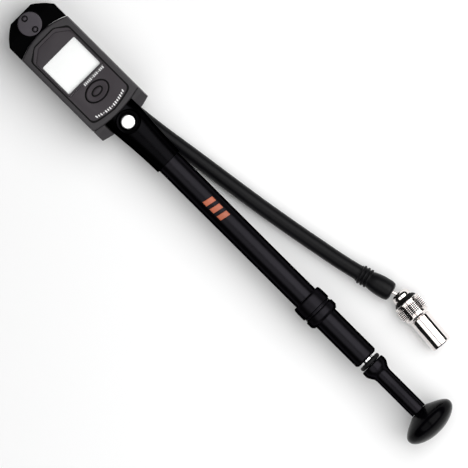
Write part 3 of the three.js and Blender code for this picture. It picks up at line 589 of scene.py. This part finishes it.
def capped(loops):
    """The same, with both ends filled."""
    vertices, faces = ring_loft(loops)
    count = len(loops[0])
    last = len(vertices) - count
    faces += [tuple(reversed(range(count))), tuple(range(last, last + count))]
    return vertices, faces


def level(points, z):
    return [(x, y, z) for x, y in points]


# ---- Gauge head --------------------------------------------------------------------------------
SHELL_TOP_Z = 25.2
SHELL_SPLIT_Z = 17.2
SHELL_WALL = 1.6
PLUG_RADIUS = 6.45
PLUG_TOP_Z = 26.5
HOLE_OFFSET = 3.95
DOOR_X = -103
SCREW_X = (-134.2, -88.6)
SCREW_Y = 12.6


def head_cavity(z0, z1):
    return tool(*prism(rectangle(-136.6, -85.5, HEAD_HALF_WIDTH - SHELL_WALL, 2), z0, z1))


def add_end_block():
    """A faceted block round the swivel, with a round seat for its plug."""
    side, top = HEAD_HALF_WIDTH, SHELL_TOP_Z
    base = tool(*prism(end_block_outline(), END_LOW.z, top))
    corners = [((-148.3, y * side, 23.6), (-0.42, y * 0.5, 0.76)) for y in (-1, 1)]
    trim(base, [((-149.2, 0, top), (-0.53, 0, 0.85))] + corners)
    carve(base, [drum(SWIVEL_X, 0, END_LOW.z + 2, top, PLUG_RADIUS + 0.45, 72)], "UNION")
    well = drum(SWIVEL_X, 0, top - 0.5, 40, PLUG_RADIUS + 0.12, 72)
    mesh = take_mesh(carve(base, [well, drum(SWIVEL_X, 0, 0, 40, 4.5)]))
    bevelled("end_block_body", mesh, 0.55, 26, "gloss_black", "pump_body", ["end_block"], 3)
    spigot = [rectangle(-144.5, -137.3, 6, 0.8)]
    plate("end_block_spigot", spigot, 13.6, 21.5, 0.3, "gloss_black", "pump_body")


def add_swivel_plug():
    """A flat disc on the swivel's post, with two blind holes for a pin spanner, each with a black ring of painted
    shade round its wall.
    """
    top, depth, radius = PLUG_TOP_Z, 1.6, 1.8
    post = [(21.3, 0), (21.3, 4.2, 0.1), (24.8, 4.2, 0.1), (24.8, PLUG_RADIUS, 0.1)]
    rim = [(top - 0.1, PLUG_RADIUS, 0.3), (top, PLUG_RADIUS - 0.6, 0.3), (top, 0)]
    disc = tool(*revolve(post + rim, upright(SWIVEL_X), sides=96))
    places = [SWIVEL_X - HOLE_OFFSET, SWIVEL_X + HOLE_OFFSET]
    mesh = take_mesh(carve(disc, [drum(x, 0, top - depth, 40, radius) for x in places]))
    bevelled("swivel_plug_disc", mesh, 0.12, 40, "dark_grey", "pump_body", ["swivel_plug"])
    foot = top - depth
    pip = [(foot - 0.02, 0), (foot - 0.02, 1.15, 0.1), (foot + 0.85, 1.0, 0.3), (foot + 1, 0)]
    # Painted shade: a black ring down each hole's wall, where the hole lies in shadow.
    wall_shade = [(foot, 1.2, 0), (foot, 1.79, 0), (foot + 0.5, 1.79, 0.1), (foot + 0.3, 1.2, 0.1)]
    black = ("groove_black", "pump_body", (), True, "rubber")
    for number, x in enumerate(places, 1):
        name = f"spanner_hole_{number}"
        turned(f"{name}_pip", pip, upright(x), "dark_grey", "pump_body", sides=40)
        turned(f"{name}_liner", wall_shade, upright(x), *black, sides=40)


POCKET_FLOOR_Z = 25.9
GROOVE = 0.85


def add_front_shell():
    """A shallow tray with a pocket for the panel, whose edge shows as a dark groove; black strips of painted shade
    lie in that groove and in the seam at the neck end.
    """
    low, top = FRONT_LOW.z, FRONT_HIGH.z
    base = tool_from(plate_mesh("front_shell_block", [front_outline()], low - 3, top, 1.0))
    below = tool(*prism(rectangle(-150, -70, 20, 0.1), 0, low))
    opening = tool(*prism(rectangle(-131, -91.5, 12.3, 1), 20, 27.5))
    pocket = tool(*prism(panel_outline(GROOVE), POCKET_FLOOR_Z, 40))
    mesh = take_mesh(carve(base, [below, head_cavity(0, SHELL_TOP_Z), opening, pocket]))
    bevelled("front_shell_case", mesh, 0.16, 50, "shell_grey", "pump_body", ["front_shell"])
    # Painted shade: a black ring on the groove's floor, standing in for the shadow there.
    edges = [panel_outline(GROOVE - 0.04), panel_outline(-0.02)]
    black = ("groove_black", "pump_body", (), "rubber")
    plate("panel_groove_shade", edges, POCKET_FLOOR_Z, 26.3, 0.08, *black)
    # Painted shade: a black strip in the seam between the front shell and the rear shell's block.
    half = half_angle(LOW_ARC[1]) - 0.008
    inner = arc(LOW_ARC[0], 0, LOW_ARC[1] + 0.03, -half, half, 30)
    outer = arc(LOW_ARC[0], 0, LOW_ARC[1] + 0.33, half, -half, 30)
    plate("shell_seam_shade", [inner + outer], 19, SHELL_TOP_Z, 0.05, *black)


LENS_X = (-137.0, -107.2)
LENS_HALF_WIDTH = 12.75


def lens_outline(grow=0.0):
    """The clear window's outline: a rectangle whose left end is drawn in by two chamfers."""
    x0, x1 = LENS_X[0] - grow, LENS_X[1] + grow
    w = LENS_HALF_WIDTH + grow
    corner = 1.2
    cut_x, cut_y = x0 + 5.2, 6.1
    upper = (
        arc(x1 - corner, w - corner, corner, 0, QUARTER, 6)
        + bend((cut_x + 0.9, w), (cut_x, w), (cut_x - 0.7, w - 0.9), 5)
        + bend((x0 + 0.7, cut_y + 0.9), (x0, cut_y), (x0, cut_y - 1.2), 5)
    )
    return upper + [(x, -y) for x, y in reversed(upper)]


PANEL_TOP_Z = 26.8


def add_panel():
    """The printed plate, the clear window's surround, a dark sill, the lens and the display."""
    x0, x1, w = WINDOW
    hole = ellipse(BUTTON_X, 5.4, 7.55)
    edges = [panel_outline(-0.06), lens_outline(0.18), hole]
    look = ("panel_grey", "pump_body")
    plate("display_panel_plate", edges, 26, PANEL_TOP_Z, 0.12, *look, ["display_panel"])
    edges = [lens_outline(), rectangle(x0 - 0.2, x1 + 0.3, w + 0.3, 0.9)]
    plate("window_surround", edges, 25.95, 26.68, 0.1, *look)
    sill = [rectangle(x0 - 0.6, x1 + 0.7, w + 0.75, 1.1), rectangle(x0, x1 + 0.05, w - 0.2, 0.8)]
    plate("window_sill", sill, 25.1, 25.9, 0.08, "groove_black", "pump_body", (), "gloss_black")
    glass = [rectangle(x0 - 0.1, x1 + 0.2, w + 0.2, 0.8)]
    plate("display_lens_pane", glass, 25.95, 26.6, 0.1, "lens", "pump_body", ["display_lens"])
    module = [rectangle(-130, -106.8, 12.1, 0.5)]
    plate("lcd_glass", module, 23.3, 25.05, 0.1, "display_white", "pump_body", ["lcd_module"])


BUTTON_RINGS = [  # half length, half width and height of each ring of the cap
    (1.5, 1.5, 23.7),
    (1.5, 1.5, 24.9),
    (5.2, 7.6, 24.9),
    (5.2, 7.6, 25.5),
    (4.55, 6.7, 25.55),
    (4.55, 6.7, 26.75),
    (4.48, 6.62, 26.95),
    (4.35, 6.45, 27.05),
    (4.05, 6.15, 27.06),
    (3.55, 5.6, 26.98),
    (3.3, 5.2, 26.9),
    (2.9, 4.7, 26.88),
    (2.45, 4.0, 26.86),
    (2.28, 3.75, 26.78),
    (2.2, 3.65, 26.2),
    (1.5, 2.8, 26.2),
    (1.42, 2.68, 26.74),
    (1.25, 2.4, 26.86),
    (0.9, 1.7, 26.95),
    (0.4, 0.8, 26.98),
]


def add_mode_button():
    """An oval cap with a shallow dished ring, and a raised oval inside an oval groove; black rings of painted
    shade lie in that groove and in the gap round the cap.
    """
    loops = [level(ellipse(BUTTON_X, rx, ry, 96), z) for rx, ry, z in BUTTON_RINGS]
    look = ("button_rubber", "mode_button", ["mode_button"])
    piece("mode_button_cap", *capped(loops), *look, sharp=50)
    black = ("groove_black", "mode_button", (), "rubber")
    # Painted shade: a black ring on the floor of the cap's oval groove.
    groove_shade = [ellipse(BUTTON_X, 2.22, 3.68), ellipse(BUTTON_X, 1.48, 2.78)]
    plate("mode_button_groove_shade", groove_shade, 26.15, 26.45, 0.05, *black)
    # Painted shade: a black ring at the bottom of the gap between the cap and the panel.
    black = ("groove_black", "pump_body", (), "rubber")
    edge = [ellipse(BUTTON_X, 5.38, 7.53), ellipse(BUTTON_X, 4.58, 6.73)]
    plate("mode_button_gap_shade", edge, 25.55, 26.1, 0.08, *black)


def add_rear_shell():
    """The deep half of the case: a tray, the block at the neck, and the openings in its back."""
    base = tool(*prism(rear_outline(), REAR_LOW.z, SHELL_SPLIT_Z))
    outline = shell_end(LOW_ARC, 0, 0.35)[::-1] + shoulder()
    block = tool(*prism(outline[::-1], SHELL_SPLIT_Z - 1, SHELL_TOP_Z))
    trim(block, [((-82.3, 0, SHELL_TOP_Z), (0.6, 0, 0.8))])
    carve(base, [block], "UNION")
    openings = [
        head_cavity(REAR_LOW.z + SHELL_WALL, 40),
        drum(DOOR_X, 0, 0, 12, 11.3, 72),
        tool(*capped([neck_loop(x, 0.3) for x in (-91, -70)])),
        tool(*prism(rectangle(-91, -70, 10.2, 0.1), AXIS_Z, 40)),
        tool(*prism(rectangle(-150, -136, 6.3, 0.1), 13.3, 40)),
    ]
    openings += [drum(x, y, 0, 11.5, 2.2, 32) for x in SCREW_X for y in (-SCREW_Y, SCREW_Y)]
    mesh = take_mesh(carve(base, openings))
    bevelled("rear_shell_case", mesh, 0.4, 30, "shell_grey", "pump_body", ["rear_shell"])


def add_battery_door():
    """A round cap with a coin slot and two finger grips."""
    profile = [(9.6, 0), (9.6, 11, 0.3), (11.1, 11, 0.1), (11.1, 0)]
    disc = tool(*revolve(profile, upright(DOOR_X), sides=96))
    cuts = [tool(*prism(rectangle(DOOR_X - 6, DOOR_X + 6, 0.9, 0.6), 0, 10.5))]
    for x in (DOOR_X - 8.28, DOOR_X + 8.28):
        cuts.append(tool(*prism(rectangle(x - 0.5, x + 0.5, 3.2, 0.4), 0, 9.95)))
    mesh = take_mesh(carve(disc, cuts))
    bevelled("battery_door_cap", mesh, 0.2, 35, "shell_grey", "battery_door", ["battery_door"])


def add_head():
    add_end_block()
    add_swivel_plug()
    add_front_shell()
    add_panel()
    add_mode_button()
    add_rear_shell()
    add_battery_door()


# ---- Neck and bleed valve ----------------------------------------------------------------------
NECK_SECTIONS = [  # x, half width and half height
    (-90, 9.75, 7.7),
    (-86, 9.75, 7.7),
    (-77, 9.9, 7.75),
    (-71, 9.5, 7.8),
    (-66, 9.05, 7.85),
    (-58, 8.5, 8.0),
    (NECK_END_X, 8.1, 8.1),
]


def neck_size(x):
    """Half width and half height of the neck at x, smoothly between its sections."""
    rows = NECK_SECTIONS
    i = max(k for k in range(len(rows) - 1) if rows[k][0] <= x or k == 0)
    before, start, end = rows[max(i - 1, 0)], rows[i], rows[i + 1]
    after = rows[min(i + 2, len(rows) - 1)]
    span = end[0] - start[0]
    t = min(1, max(0, (x - start[0]) / span))
    made = []
    for k in (1, 2):
        slope0 = (end[k] - before[k]) / max(end[0] - before[0], 1) * span
        slope1 = (after[k] - start[k]) / max(after[0] - start[0], 1) * span
        made.append(
            (2 * t**3 - 3 * t**2 + 1) * start[k]
            + (t**3 - 2 * t**2 + t) * slope0
            + (-2 * t**3 + 3 * t**2) * end[k]
            + (t**3 - t**2) * slope1
        )
    return made


def neck_loop(x, grow=0.0):
    half_width, half_height = neck_size(x)
    made = []
    for i in range(ROUND_SIDES):
        angle = TURN * i / ROUND_SIDES
        y = (half_width + grow) * math.cos(angle)
        made.append((x, y, AXIS_Z + (half_height + grow) * math.sin(angle)))
    return made


def add_neck():
    """The casting between head and barrel, with a dished boss round the bleed button."""
    stations = list(range(-86, -46)) + [NECK_END_X - 0.6, NECK_END_X - 0.2]
    loops = [neck_loop(x) for x in stations]
    loops += [neck_loop(NECK_END_X, -0.25), neck_loop(NECK_END_X, -0.6)]
    base = tool(*capped(loops))
    foot = [(16, 0), (16, 7.3, 0), (21.4, 7.1, 1.5), (23.6, 6.5, 0.8), (25, 6.1, 0.08)]
    dish = [(25, 5.9, 0.3), (24.1, 4.5, 0.3), (21.5, 4.15, 0), (21.5, 0)]
    carve(base, [tool(*revolve(foot + dish, upright(BLEED_X), sides=96))], "UNION")
    carve(base, [tool(*prism(rectangle(-88.4, -85.5, 9.2, 0.3), 12.4, 22.4))], "UNION")
    cuts = [
        bar(-84, -57, 2.6),
        bar(-58, 0, BARREL_RADIUS + 0.25, 96),
        drum(BLEED_X, 0, 21.4, 24.9, 4.15, 64),
        drum(BLEED_X, 0, 17, 30, 1.35),
        drum(BLEED_X, 0, 13.1, 18.2, 2.6),
    ]
    mesh = take_mesh(carve(base, cuts))
    settle("neck_casting", mesh, "satin_black", "pump_body", ["neck"], sharp=38)


def add_bleed_button():
    side = [(23.3, 0), (23.3, 3.85, 0.1), (25.1, 3.85, 0.3)]
    crown = [(25.55, 3.5, 0.4), (25.72, 2.4, 0.5), (25.8, 0)]
    place = upright(BLEED_X)
    turned("bleed_button_cap", side + crown, place, "silver", "bleed_button", ["bleed_button"])


def coil(place, height, radius, wire, turns):
    """A spring's wire, wound along local X."""
    steps, sides = turns * 32, 10
    loops = []
    for i in range(steps + 1):
        turn = TURN * turns * i / steps
        along = wire + (height - 2 * wire) * i / steps
        out = Vector((0, math.cos(turn), math.sin(turn)))
        loop = []
        for j in range(sides):
            angle = TURN * j / sides
            lift = Vector((along + wire * math.sin(angle), 0, 0))
            loop.append(place @ (out * (radius + wire * math.cos(angle)) + lift))
        loops.append(loop)
    return capped(loops)


def add_springs():
    """Both valve springs; each gets a mesh of its own."""
    foot = Vector((BLEED_X, 0, 21.5))
    place = Matrix.Translation(foot) @ Matrix.Rotation(-QUARTER, 4, "Y")
    wire = coil(place, 1.75, 2.2, 0.2, 2)
    made = piece("bleed_coil", *wire, "steel", "pump_body", ["bleed_spring"], sharp=60)
    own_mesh(made)
    foot = Vector((-56.9, 0, AXIS_Z))
    wire = coil(Matrix.Translation(foot), 1.8, 1.1, 0.2, 3)
    made = piece("check_coil", *wire, "steel", "pump_body", ["check_spring"], sharp=60)
    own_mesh(made)


# ---- Barrel and handle: each profile is a row of (x, radius, fillet) -----------------------------
def tube(name, profile, look, body, stands_for, slot=None, sides=ROUND_SIDES):
    """A turned piece on the pump's own axis, from a closed profile."""
    turned(name, profile, along_x(), look, body, [stands_for], True, slot, sides)


def add_barrel():
    bore, split, end = 6.0, 64.0, 102.2
    start, outside = -57.7, BARREL_RADIUS
    upper = [(start, bore, 0), (start, outside, 0.2), (split, outside, 0.1), (split, bore, 0)]
    tube("outer_barrel_tube", upper, "barrel_black", "pump_body", "outer_barrel")
    lower = [
        (split + 0.3, bore, 0), (split + 0.3, 7, 0.1), (end - 1.0, 7, 0.5), (end, 5.9, 0.3),
        (end, 4.1, 0.1), (end - 2.2, 4.1, 0.1), (end - 2.2, bore, 0),
    ]
    tube("lower_barrel_tube", lower, "barrel_black", "pump_body", "lower_barrel")


def add_collar():
    """A collar in two parts, which meet in the groove between them."""
    bore, radius, valley = BARREL_RADIUS + 0.2, 9.2, 8.4
    x0, groove_x, x1 = 56.5, 65.3, 71.4
    sleeve = [
        (x0, bore, 0.1), (x0, 8.5, 0.3), (x0 + 0.9, 9.0, 0.4), (x0 + 2.9, radius, 0.4),
        (groove_x - 1.1, radius, 0.3), (groove_x - 0.75, valley, 0.15),
        (groove_x - 0.05, valley, 0), (groove_x - 0.05, bore, 0),
    ]
    tube("barrel_collar_sleeve", sleeve, "collar_black", "pump_body", "barrel_collar")
    ring = [
        (groove_x + 0.05, bore, 0), (groove_x + 0.05, valley, 0), (groove_x + 0.75, valley, 0.15),
        (groove_x + 1.1, radius, 0.3), (x1 - 1.6, radius, 0.5), (x1, 7.8, 0.4), (x1, bore, 0.1),
    ]
    tube("retaining_ring_band", ring, "collar_black", "pump_body", "retaining_ring")


def add_handle():
    """The rod, its bump stop, the stem and the knob."""
    rod_x, rod_radius = (-39.9, 117.5), 3.7
    rod = [(rod_x[0], 0), (rod_x[0], rod_radius, 0.4), (rod_x[1], rod_radius, 0.4), (rod_x[1], 0)]
    turned("piston_rod_shaft", rod, along_x(), "rod_chrome", "handle", ["piston_rod"])
    bumper = [
        (103.4, 3.9, 0.1), (103.4, 6.0, 0.5), (104.3, 6.5, 0.6), (105.3, 6.2, 0.4),
        (105.8, 5.6, 0.2), (105.8, 3.9, 0.1),
    ]
    tube("bump_stop_ring", bumper, "rubber", "handle", "bump_stop")
    grip = [
        (106, 3.9, 0.1), (106, 6.9, 0.5), (106.7, 7.15, 0.3), (109.4, 7.15, 0.8),
        (111.3, 6.1, 1.5), (112.9, 5.0, 1.5), (114.6, 4.75, 1.2), (141, 4.75, 0.1),
        (141, 3.2, 0), (150, 3.2, 0.2), (150, 0, 0), (118, 0, 0), (118, 3.9, 0),
    ]
    tube("handle_stem_grip", grip, "handle_black", "handle", "handle_stem")
    knob = [
        (141.2, 3.4, 0), (141.2, 5.2, 0.3), (142.4, 7.6, 1.2), (143.8, 10.6, 1.6),
        (145.5, 13.4, 1.6), (147.2, 15.15, 1.2), (149.1, KNOB_HIGH.z - AXIS_Z, 1.6),
        (151.1, 15.1, 1.6), (153, 13.3, 1.8), (154.8, 10.2, 2.0), (156.1, 6.3, 2.4),
        (156.65, 2.6, 2.0), (KNOB_HIGH.x, 0, 0), (150.3, 0, 0), (150.3, 3.4, 0),
    ]
    tube("handle_knob_cap", knob, "knob_black", "handle", "handle_knob", "handle_black", 128)


# ---- Hose and chuck ----------------------------------------------------------------------------
def add_hose():
    data = bpy.data.curves.new("hose_tube", "CURVE")
    data.dimensions = "3D"
    data.bevel_depth = (HOSE_DIAMETER / 2 + HOSE_SKIN) * MM
    data.bevel_resolution = 10
    data.resolution_u = 8
    data.use_fill_caps = True
    spline = data.splines.new("BEZIER")
    spline.bezier_points.add(len(HOSE_ROUTE) - 1)
    for point, place in zip(spline.bezier_points, HOSE_ROUTE):
        point.co = Vector(place) * MM
        point.handle_left_type = point.handle_right_type = "AUTO"
    data.materials.append(LOOKS["hose_rubber"])
    made = linked("hose_tube", data)
    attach(made, "hose")
    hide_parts("hose")
    return made


def add_cord(on_it):
    spans = zip(HOSE_ROUTE, HOSE_ROUTE[1:])
    length = sum((Vector(b) - Vector(a)).length for a, b in spans) * MM


def add_boot():
    """Three moulded ridges, then a body that swells before it closes on the ball's stem."""
    start = Vector(HOSE_ROUTE[-1])
    place = towards(start, BALL + Vector((0, -0.75, -0.1)) - start)
    low, high = 4.55, 5.3
    profile = [(-0.6, 0, 0), (-0.6, 4.5, 0.2)]
    for x in (0.4, 2.5, 4.6):
        profile += [(x, low, 0.15), (x + 0.4, high, 0.35), (x + 1.3, high, 0.35)]
        profile += [(x + 1.7, low, 0.15)]
    profile += [
        (7.2, 4.8, 0.5), (9.4, 5.3, 1), (13.3, 5.6, 2), (17.6, 5.5, 0.8), (19.3, 5.0, 0.5),
        (20.0, 3.6, 0.4), (20.0, 1.6, 0.1), (11, 1.6, 0), (11, 0, 0),
    ]
    boot = turned("hose_boot_moulding", profile, place, "hose_rubber", "hose", ["hose_boot"])
    return [boot, add_ball_stem(place @ Vector((16, 0, 0)))]


def add_ball_stem(root):
    """A pin out of the boot, which ends in the ball that the chuck tilts on."""
    ball, pin, steps = 2.9, 1.15, 20
    reach = (BALL - root).length
    first = math.pi - math.asin(pin / ball)
    turns = [first * (1 - i / steps) for i in range(steps)]
    sphere = [(reach + ball * math.cos(turn), ball * math.sin(turn), 0) for turn in turns]
    stem = [(-3, 0, 0), (-3, pin, 0.1)] + sphere + [(reach + ball, 0, 0)]
    place = towards(root, BALL - root)
    return turned("ball_stem_pin", stem, place, "chrome", "hose", ["ball_stem"])


def ring_at(x, reaches):
    """A ring about local X, with its own reach at each point."""
    sides = len(reaches)
    angles = [TURN * j / sides for j in range(sides)]
    return [(x, r * math.cos(angle), r * math.sin(angle)) for r, angle in zip(reaches, angles)]


def knurl(x0, x1, radius, around, rows, depth):
    """Rings of a knurled band: a square grid of flat-topped studs with grooves between them."""
    rings = []
    for i in range(rows * 4 + 1):
        x = x0 + (x1 - x0) * i / (rows * 4)
        low = [i % 4 == 0 or j % 4 == 0 for j in range(around * 4)]
        rings.append(ring_at(x, [radius - depth if down else radius for down in low]))
    return rings


def add_cup(place):
    """The socket that holds the ball, and a black seal between it and the collar."""
    outside = [
        (-2.5, 3.25, 0.05), (-2.5, 3.6, 0.2), (-1.7, 4.7, 0.5), (-0.5, 5.25, 0.5),
        (0.8, 5.25, 0.4), (1.5, 4.7, 0.2), (1.5, 4.2, 0.1), (3.1, 4.2, 0.1), (3.1, 3.3, 0.1),
    ]
    bore = [(22, 3.3, 0.1), (22, 1.1, 0.1), (3.4, 1.1, 0.1)]
    seat = [(x, y, 0) for x, y in arc(0, 0, 3.2, 0.36, 2.107, 10)]
    profile = outside + bore + seat
    cup = turned("chuck_cup_socket", profile, place, "chrome", "chuck", ["chuck_cup"], True)
    band = [(1.55, 4.25, 0), (1.55, 5.3, 0.2), (3.3, 6.9, 0.2), (3.3, 4.25, 0)]
    seal = turned("chuck_cup_seal", band, place, "groove_black", "chuck", (), True, "rubber")
    return [cup, seal]


def add_knurled_collar(place):
    """A knurled band between two turned lips, with its grooves darkened by painted shade: a black sleeve under
    them.
    """
    around = 46
    lead = [
        (3.4, 3.7, 0), (3.4, 6.7, 0.1), (3.8, 7.7, 0.15), (4.6, 7.7, 0.15), (4.9, 7.0, 0.1),
        (5.3, 7.0, 0.1), (5.5, 7.45, 0),
    ]
    tail = [
        (11.4, 7.45, 0), (11.6, 6.9, 0.05), (12.0, 6.9, 0.05), (12.3, 7.2, 0.1),
        (13.0, 7.2, 0.1), (13.5, 6.5, 0.1), (14.2, 6.1, 0.1), (14.2, 3.7, 0),
    ]
    rings = [ring_at(x, [r] * around * 4) for x, r in softened(lead, False)]
    rings += knurl(5.5, 11.4, 7.85, around, 6, 0.42)
    rings += [ring_at(x, [r] * around * 4) for x, r in softened(tail, False)]
    loops = [[place @ Vector(point) for point in ring] for ring in rings]
    shape = ring_loft(loops, closed=True)
    stands_for = ["chuck_collar"]
    collar = piece("chuck_collar_knurled", *shape, "chrome", "chuck_collar", stands_for, sharp=20)
    # Painted shade: a black sleeve that shows at the bottom of the knurl's grooves.
    under = [(5.6, 7.3, 0), (5.6, 7.7, 0.02), (11.3, 7.7, 0.02), (11.3, 7.3, 0)]
    black = ("groove_black", "chuck_collar", (), True, "rubber")
    turned("chuck_collar_groove_shade", under, place, *black)
    return collar


def add_chuck():
    place = towards(BALL, CHUCK_AXIS)
    cup = add_cup(place)
    collar = add_knurled_collar(place)
    profile = [
        (14.6, 3.7, 0.1), (14.6, 5.55, 0.1), (15.0, 5.9, 0.1), (32.8, 5.9, 0.15),
        (33.5, 5.45, 0.1), (33.5, 4.1, 0.15), (22.3, 4.1, 0), (22.3, 3.7, 0),
    ]
    look = ("chrome", "chuck_sleeve", ["chuck_sleeve"], True)
    return cup + [collar, turned("chuck_sleeve_tube", profile, place, *look)]


def add_elbow():
    """The elbow under the swivel, and the crimped ferrule that holds the hose in it."""
    start = Vector(HOSE_ROUTE[0])
    pivot = Vector((SWIVEL_X, 0, start.z))
    place = towards(pivot, start - pivot)
    profile = [(0, 0), (0, 6.3, 0.5), (9.3, 6.3, 0.5), (9.3, 0)]
    body = tool(*revolve(profile, upright(SWIVEL_X), sides=96))
    outlet = [(0, 0), (0, 4.4, 0), (9.6, 4.4, 0.3), (9.6, 0)]
    carve(body, [tool(*revolve(outlet, place, sides=64))], "UNION")
    carve(body, [drum(SWIVEL_X, 0, -1, 12, 3.9), drum(SWIVEL_X, 0, -1, 2.2, 5.0)])
    mesh = take_mesh(body)
    settle("swivel_elbow_body", mesh, "satin_black", "hose", ["swivel_elbow"], sharp=35)
    end, radius, crease = (start - pivot).length - 0.3, 4.4, 4.1
    crimp = [(9.9, 1.4, 0), (9.9, 4.0, 0.1), (10.5, radius, 0.2)]
    for x in (12, 14, 16):
        crimp += [(x, radius, 0.1), (x + 0.25, crease, 0.1), (x + 0.75, crease, 0.1)]
        crimp += [(x + 1, radius, 0.1)]
    crimp += [(end - 0.8, radius, 0.2), (end, crease, 0.1), (end, 1.4, 0)]
    turned("hose_ferrule_crimp", crimp, place, "steel", "hose", ["hose_ferrule"], True)


# ---- Printed marks -----------------------------------------------------------------------------
def add_barrel_print():
    """Three slanted bars printed on the barrel, as a skin that follows it."""
    radius = BARREL_RADIUS + 0.025
    first_x, pitch, width, slant = -18.2, 5.3, 3.096, 1.3
    low_y, height = -2.6, 6.0
    columns, rows = 8, 12
    for number in range(3):
        vertices, faces = [], []
        for i in range(columns + 1):
            for j in range(rows + 1):
                up = j / rows
                y = low_y + height * up
                x = first_x + pitch * number + width * i / columns + slant * up
                vertices.append((x, y, AXIS_Z + math.sqrt(radius**2 - y**2)))
        for i in range(columns):
            for j in range(rows):
                a = i * (rows + 1) + j
                faces.append((a, a + rows + 1, a + rows + 2, a + 1))
        look = ("mark_orange", "pump_body", (), "barrel_black")
        made = piece(f"barrel_bar_{number + 1}", vertices, faces, *look)
        skin = made.modifiers.new("skin", "SOLIDIFY")
        skin.thickness = 0.03 * MM
        skin.offset = 1


SHORT, SMALL = 0.35, 0.8
COLUMN_TICKS = [1, SMALL, 1, SHORT, 1, SMALL, 1, SHORT, 1, 1, SMALL, 1, 1]
ARC_TICKS = COLUMN_TICKS + [SMALL, 1]


def tick(x, y, length, width, turn=0.0):
    c, s = math.cos(turn), math.sin(turn)
    a, b = length / 2, width / 2
    corners = [(-a, -b), (a, -b), (a, b), (-a, b)]
    return [(x + along * c - up * s, y + along * s + up * c) for along, up in corners]


def add_panel_print():
    """Plain ticks beside the display and along the panel's far edge, which carry no letters."""
    marks = []
    for i, size in enumerate(COLUMN_TICKS):
        marks.append(tick(-106.15, 11.2 - 1.12 * i, 1.5 * size, 0.5 if size == SHORT else 0.62))
    for i, size in enumerate(ARC_TICKS):
        t = -1 + 2 * i / (len(ARC_TICKS) - 1)
        width = 0.55 if size == SHORT else 0.66
        marks.append(tick(-87.9 - 1.9 * t * t, 9.8 * t, 1.45 * size, width, -0.2 * t))
    shape = joined(*(prism(mark, PANEL_TOP_Z - 0.01, PANEL_TOP_Z + 0.03) for mark in marks))
    piece("panel_ticks", *shape, "mark_white", "pump_body", slot="display_white")


# ---- Studio ------------------------------------------------------------------------------------
def add_studio():
    reach = 1.1
    corners = [(-reach, -reach, 0), (reach, -reach, 0), (reach, reach, 0), (-reach, reach, 0)]
    data = bpy.data.meshes.new("floor")
    data.from_pydata(corners, [], [(0, 1, 2, 3)])
    data.materials.append(shader("white_floor", (0.9, 0.9, 0.9), 0.9, specular=0.0)[0])
    linked("floor", data)
    world = bpy.data.worlds.new("studio")
    world.use_nodes = True
    sky(world.node_tree)
    bpy.context.scene.world = world
    # The dark gap between the two is what a flat, glossy, level face reflects.
    add_softbox("overhead_near", (0.7, -0.525, 1.0), (2.3, 0.85), 9.6)
    add_softbox("overhead_far", (0.7, 0.815, 1.0), (2.3, 1.57), 33.5)
    bpy.context.scene.view_settings.view_transform = "Standard"


def sky(tree):
    """A dark room above a pale horizon, which stands behind the pump in level views."""
    background = tree.nodes["Background"]
    background.inputs["Color"].default_value = (1, 1, 1, 1)
    place = tree.nodes.new("ShaderNodeTexCoord")
    parts = tree.nodes.new("ShaderNodeSeparateXYZ")
    fall = tree.nodes.new("ShaderNodeMapRange")
    values = {"From Min": 0.03, "From Max": 0.06, "To Min": 0.8, "To Max": 0.012}
    for name, value in values.items():
        fall.inputs[name].default_value = value
    tree.links.new(place.outputs["Generated"], parts.inputs["Vector"])
    tree.links.new(parts.outputs["Z"], fall.inputs["Value"])
    tree.links.new(fall.outputs["Result"], background.inputs["Strength"])


def add_softbox(name, place, size, power):
    """A level softbox that shines straight down."""
    data = bpy.data.lights.new(name, "AREA")
    data.shape = "RECTANGLE"
    data.size, data.size_y = size
    data.energy = power
    linked(name, data).location = place


def finish_cad_nodes():
    """The CAD nodes that stay in view, or inside, get the finish of their record slot."""
    slots = {row["node"]: row["material_slot"] for row in frame["record"]["subparts"]}
    for name, node in frame["nodes"].items():
        node.data.materials.clear()
        node.data.materials.append(LOOKS[slots[name]])


add_camera()
LOOKS = make_materials()
hose = add_hose()
inside_chuck = [frame["nodes"]["chuck_gasket"], frame["nodes"]["depressor_pin"]]
add_cord(add_boot() + add_chuck() + inside_chuck)
add_elbow()
add_head()
add_neck()
add_bleed_button()
add_springs()
add_barrel()
add_collar()
add_handle()
add_barrel_print()
add_panel_print()
finish_cad_nodes()
add_studio()
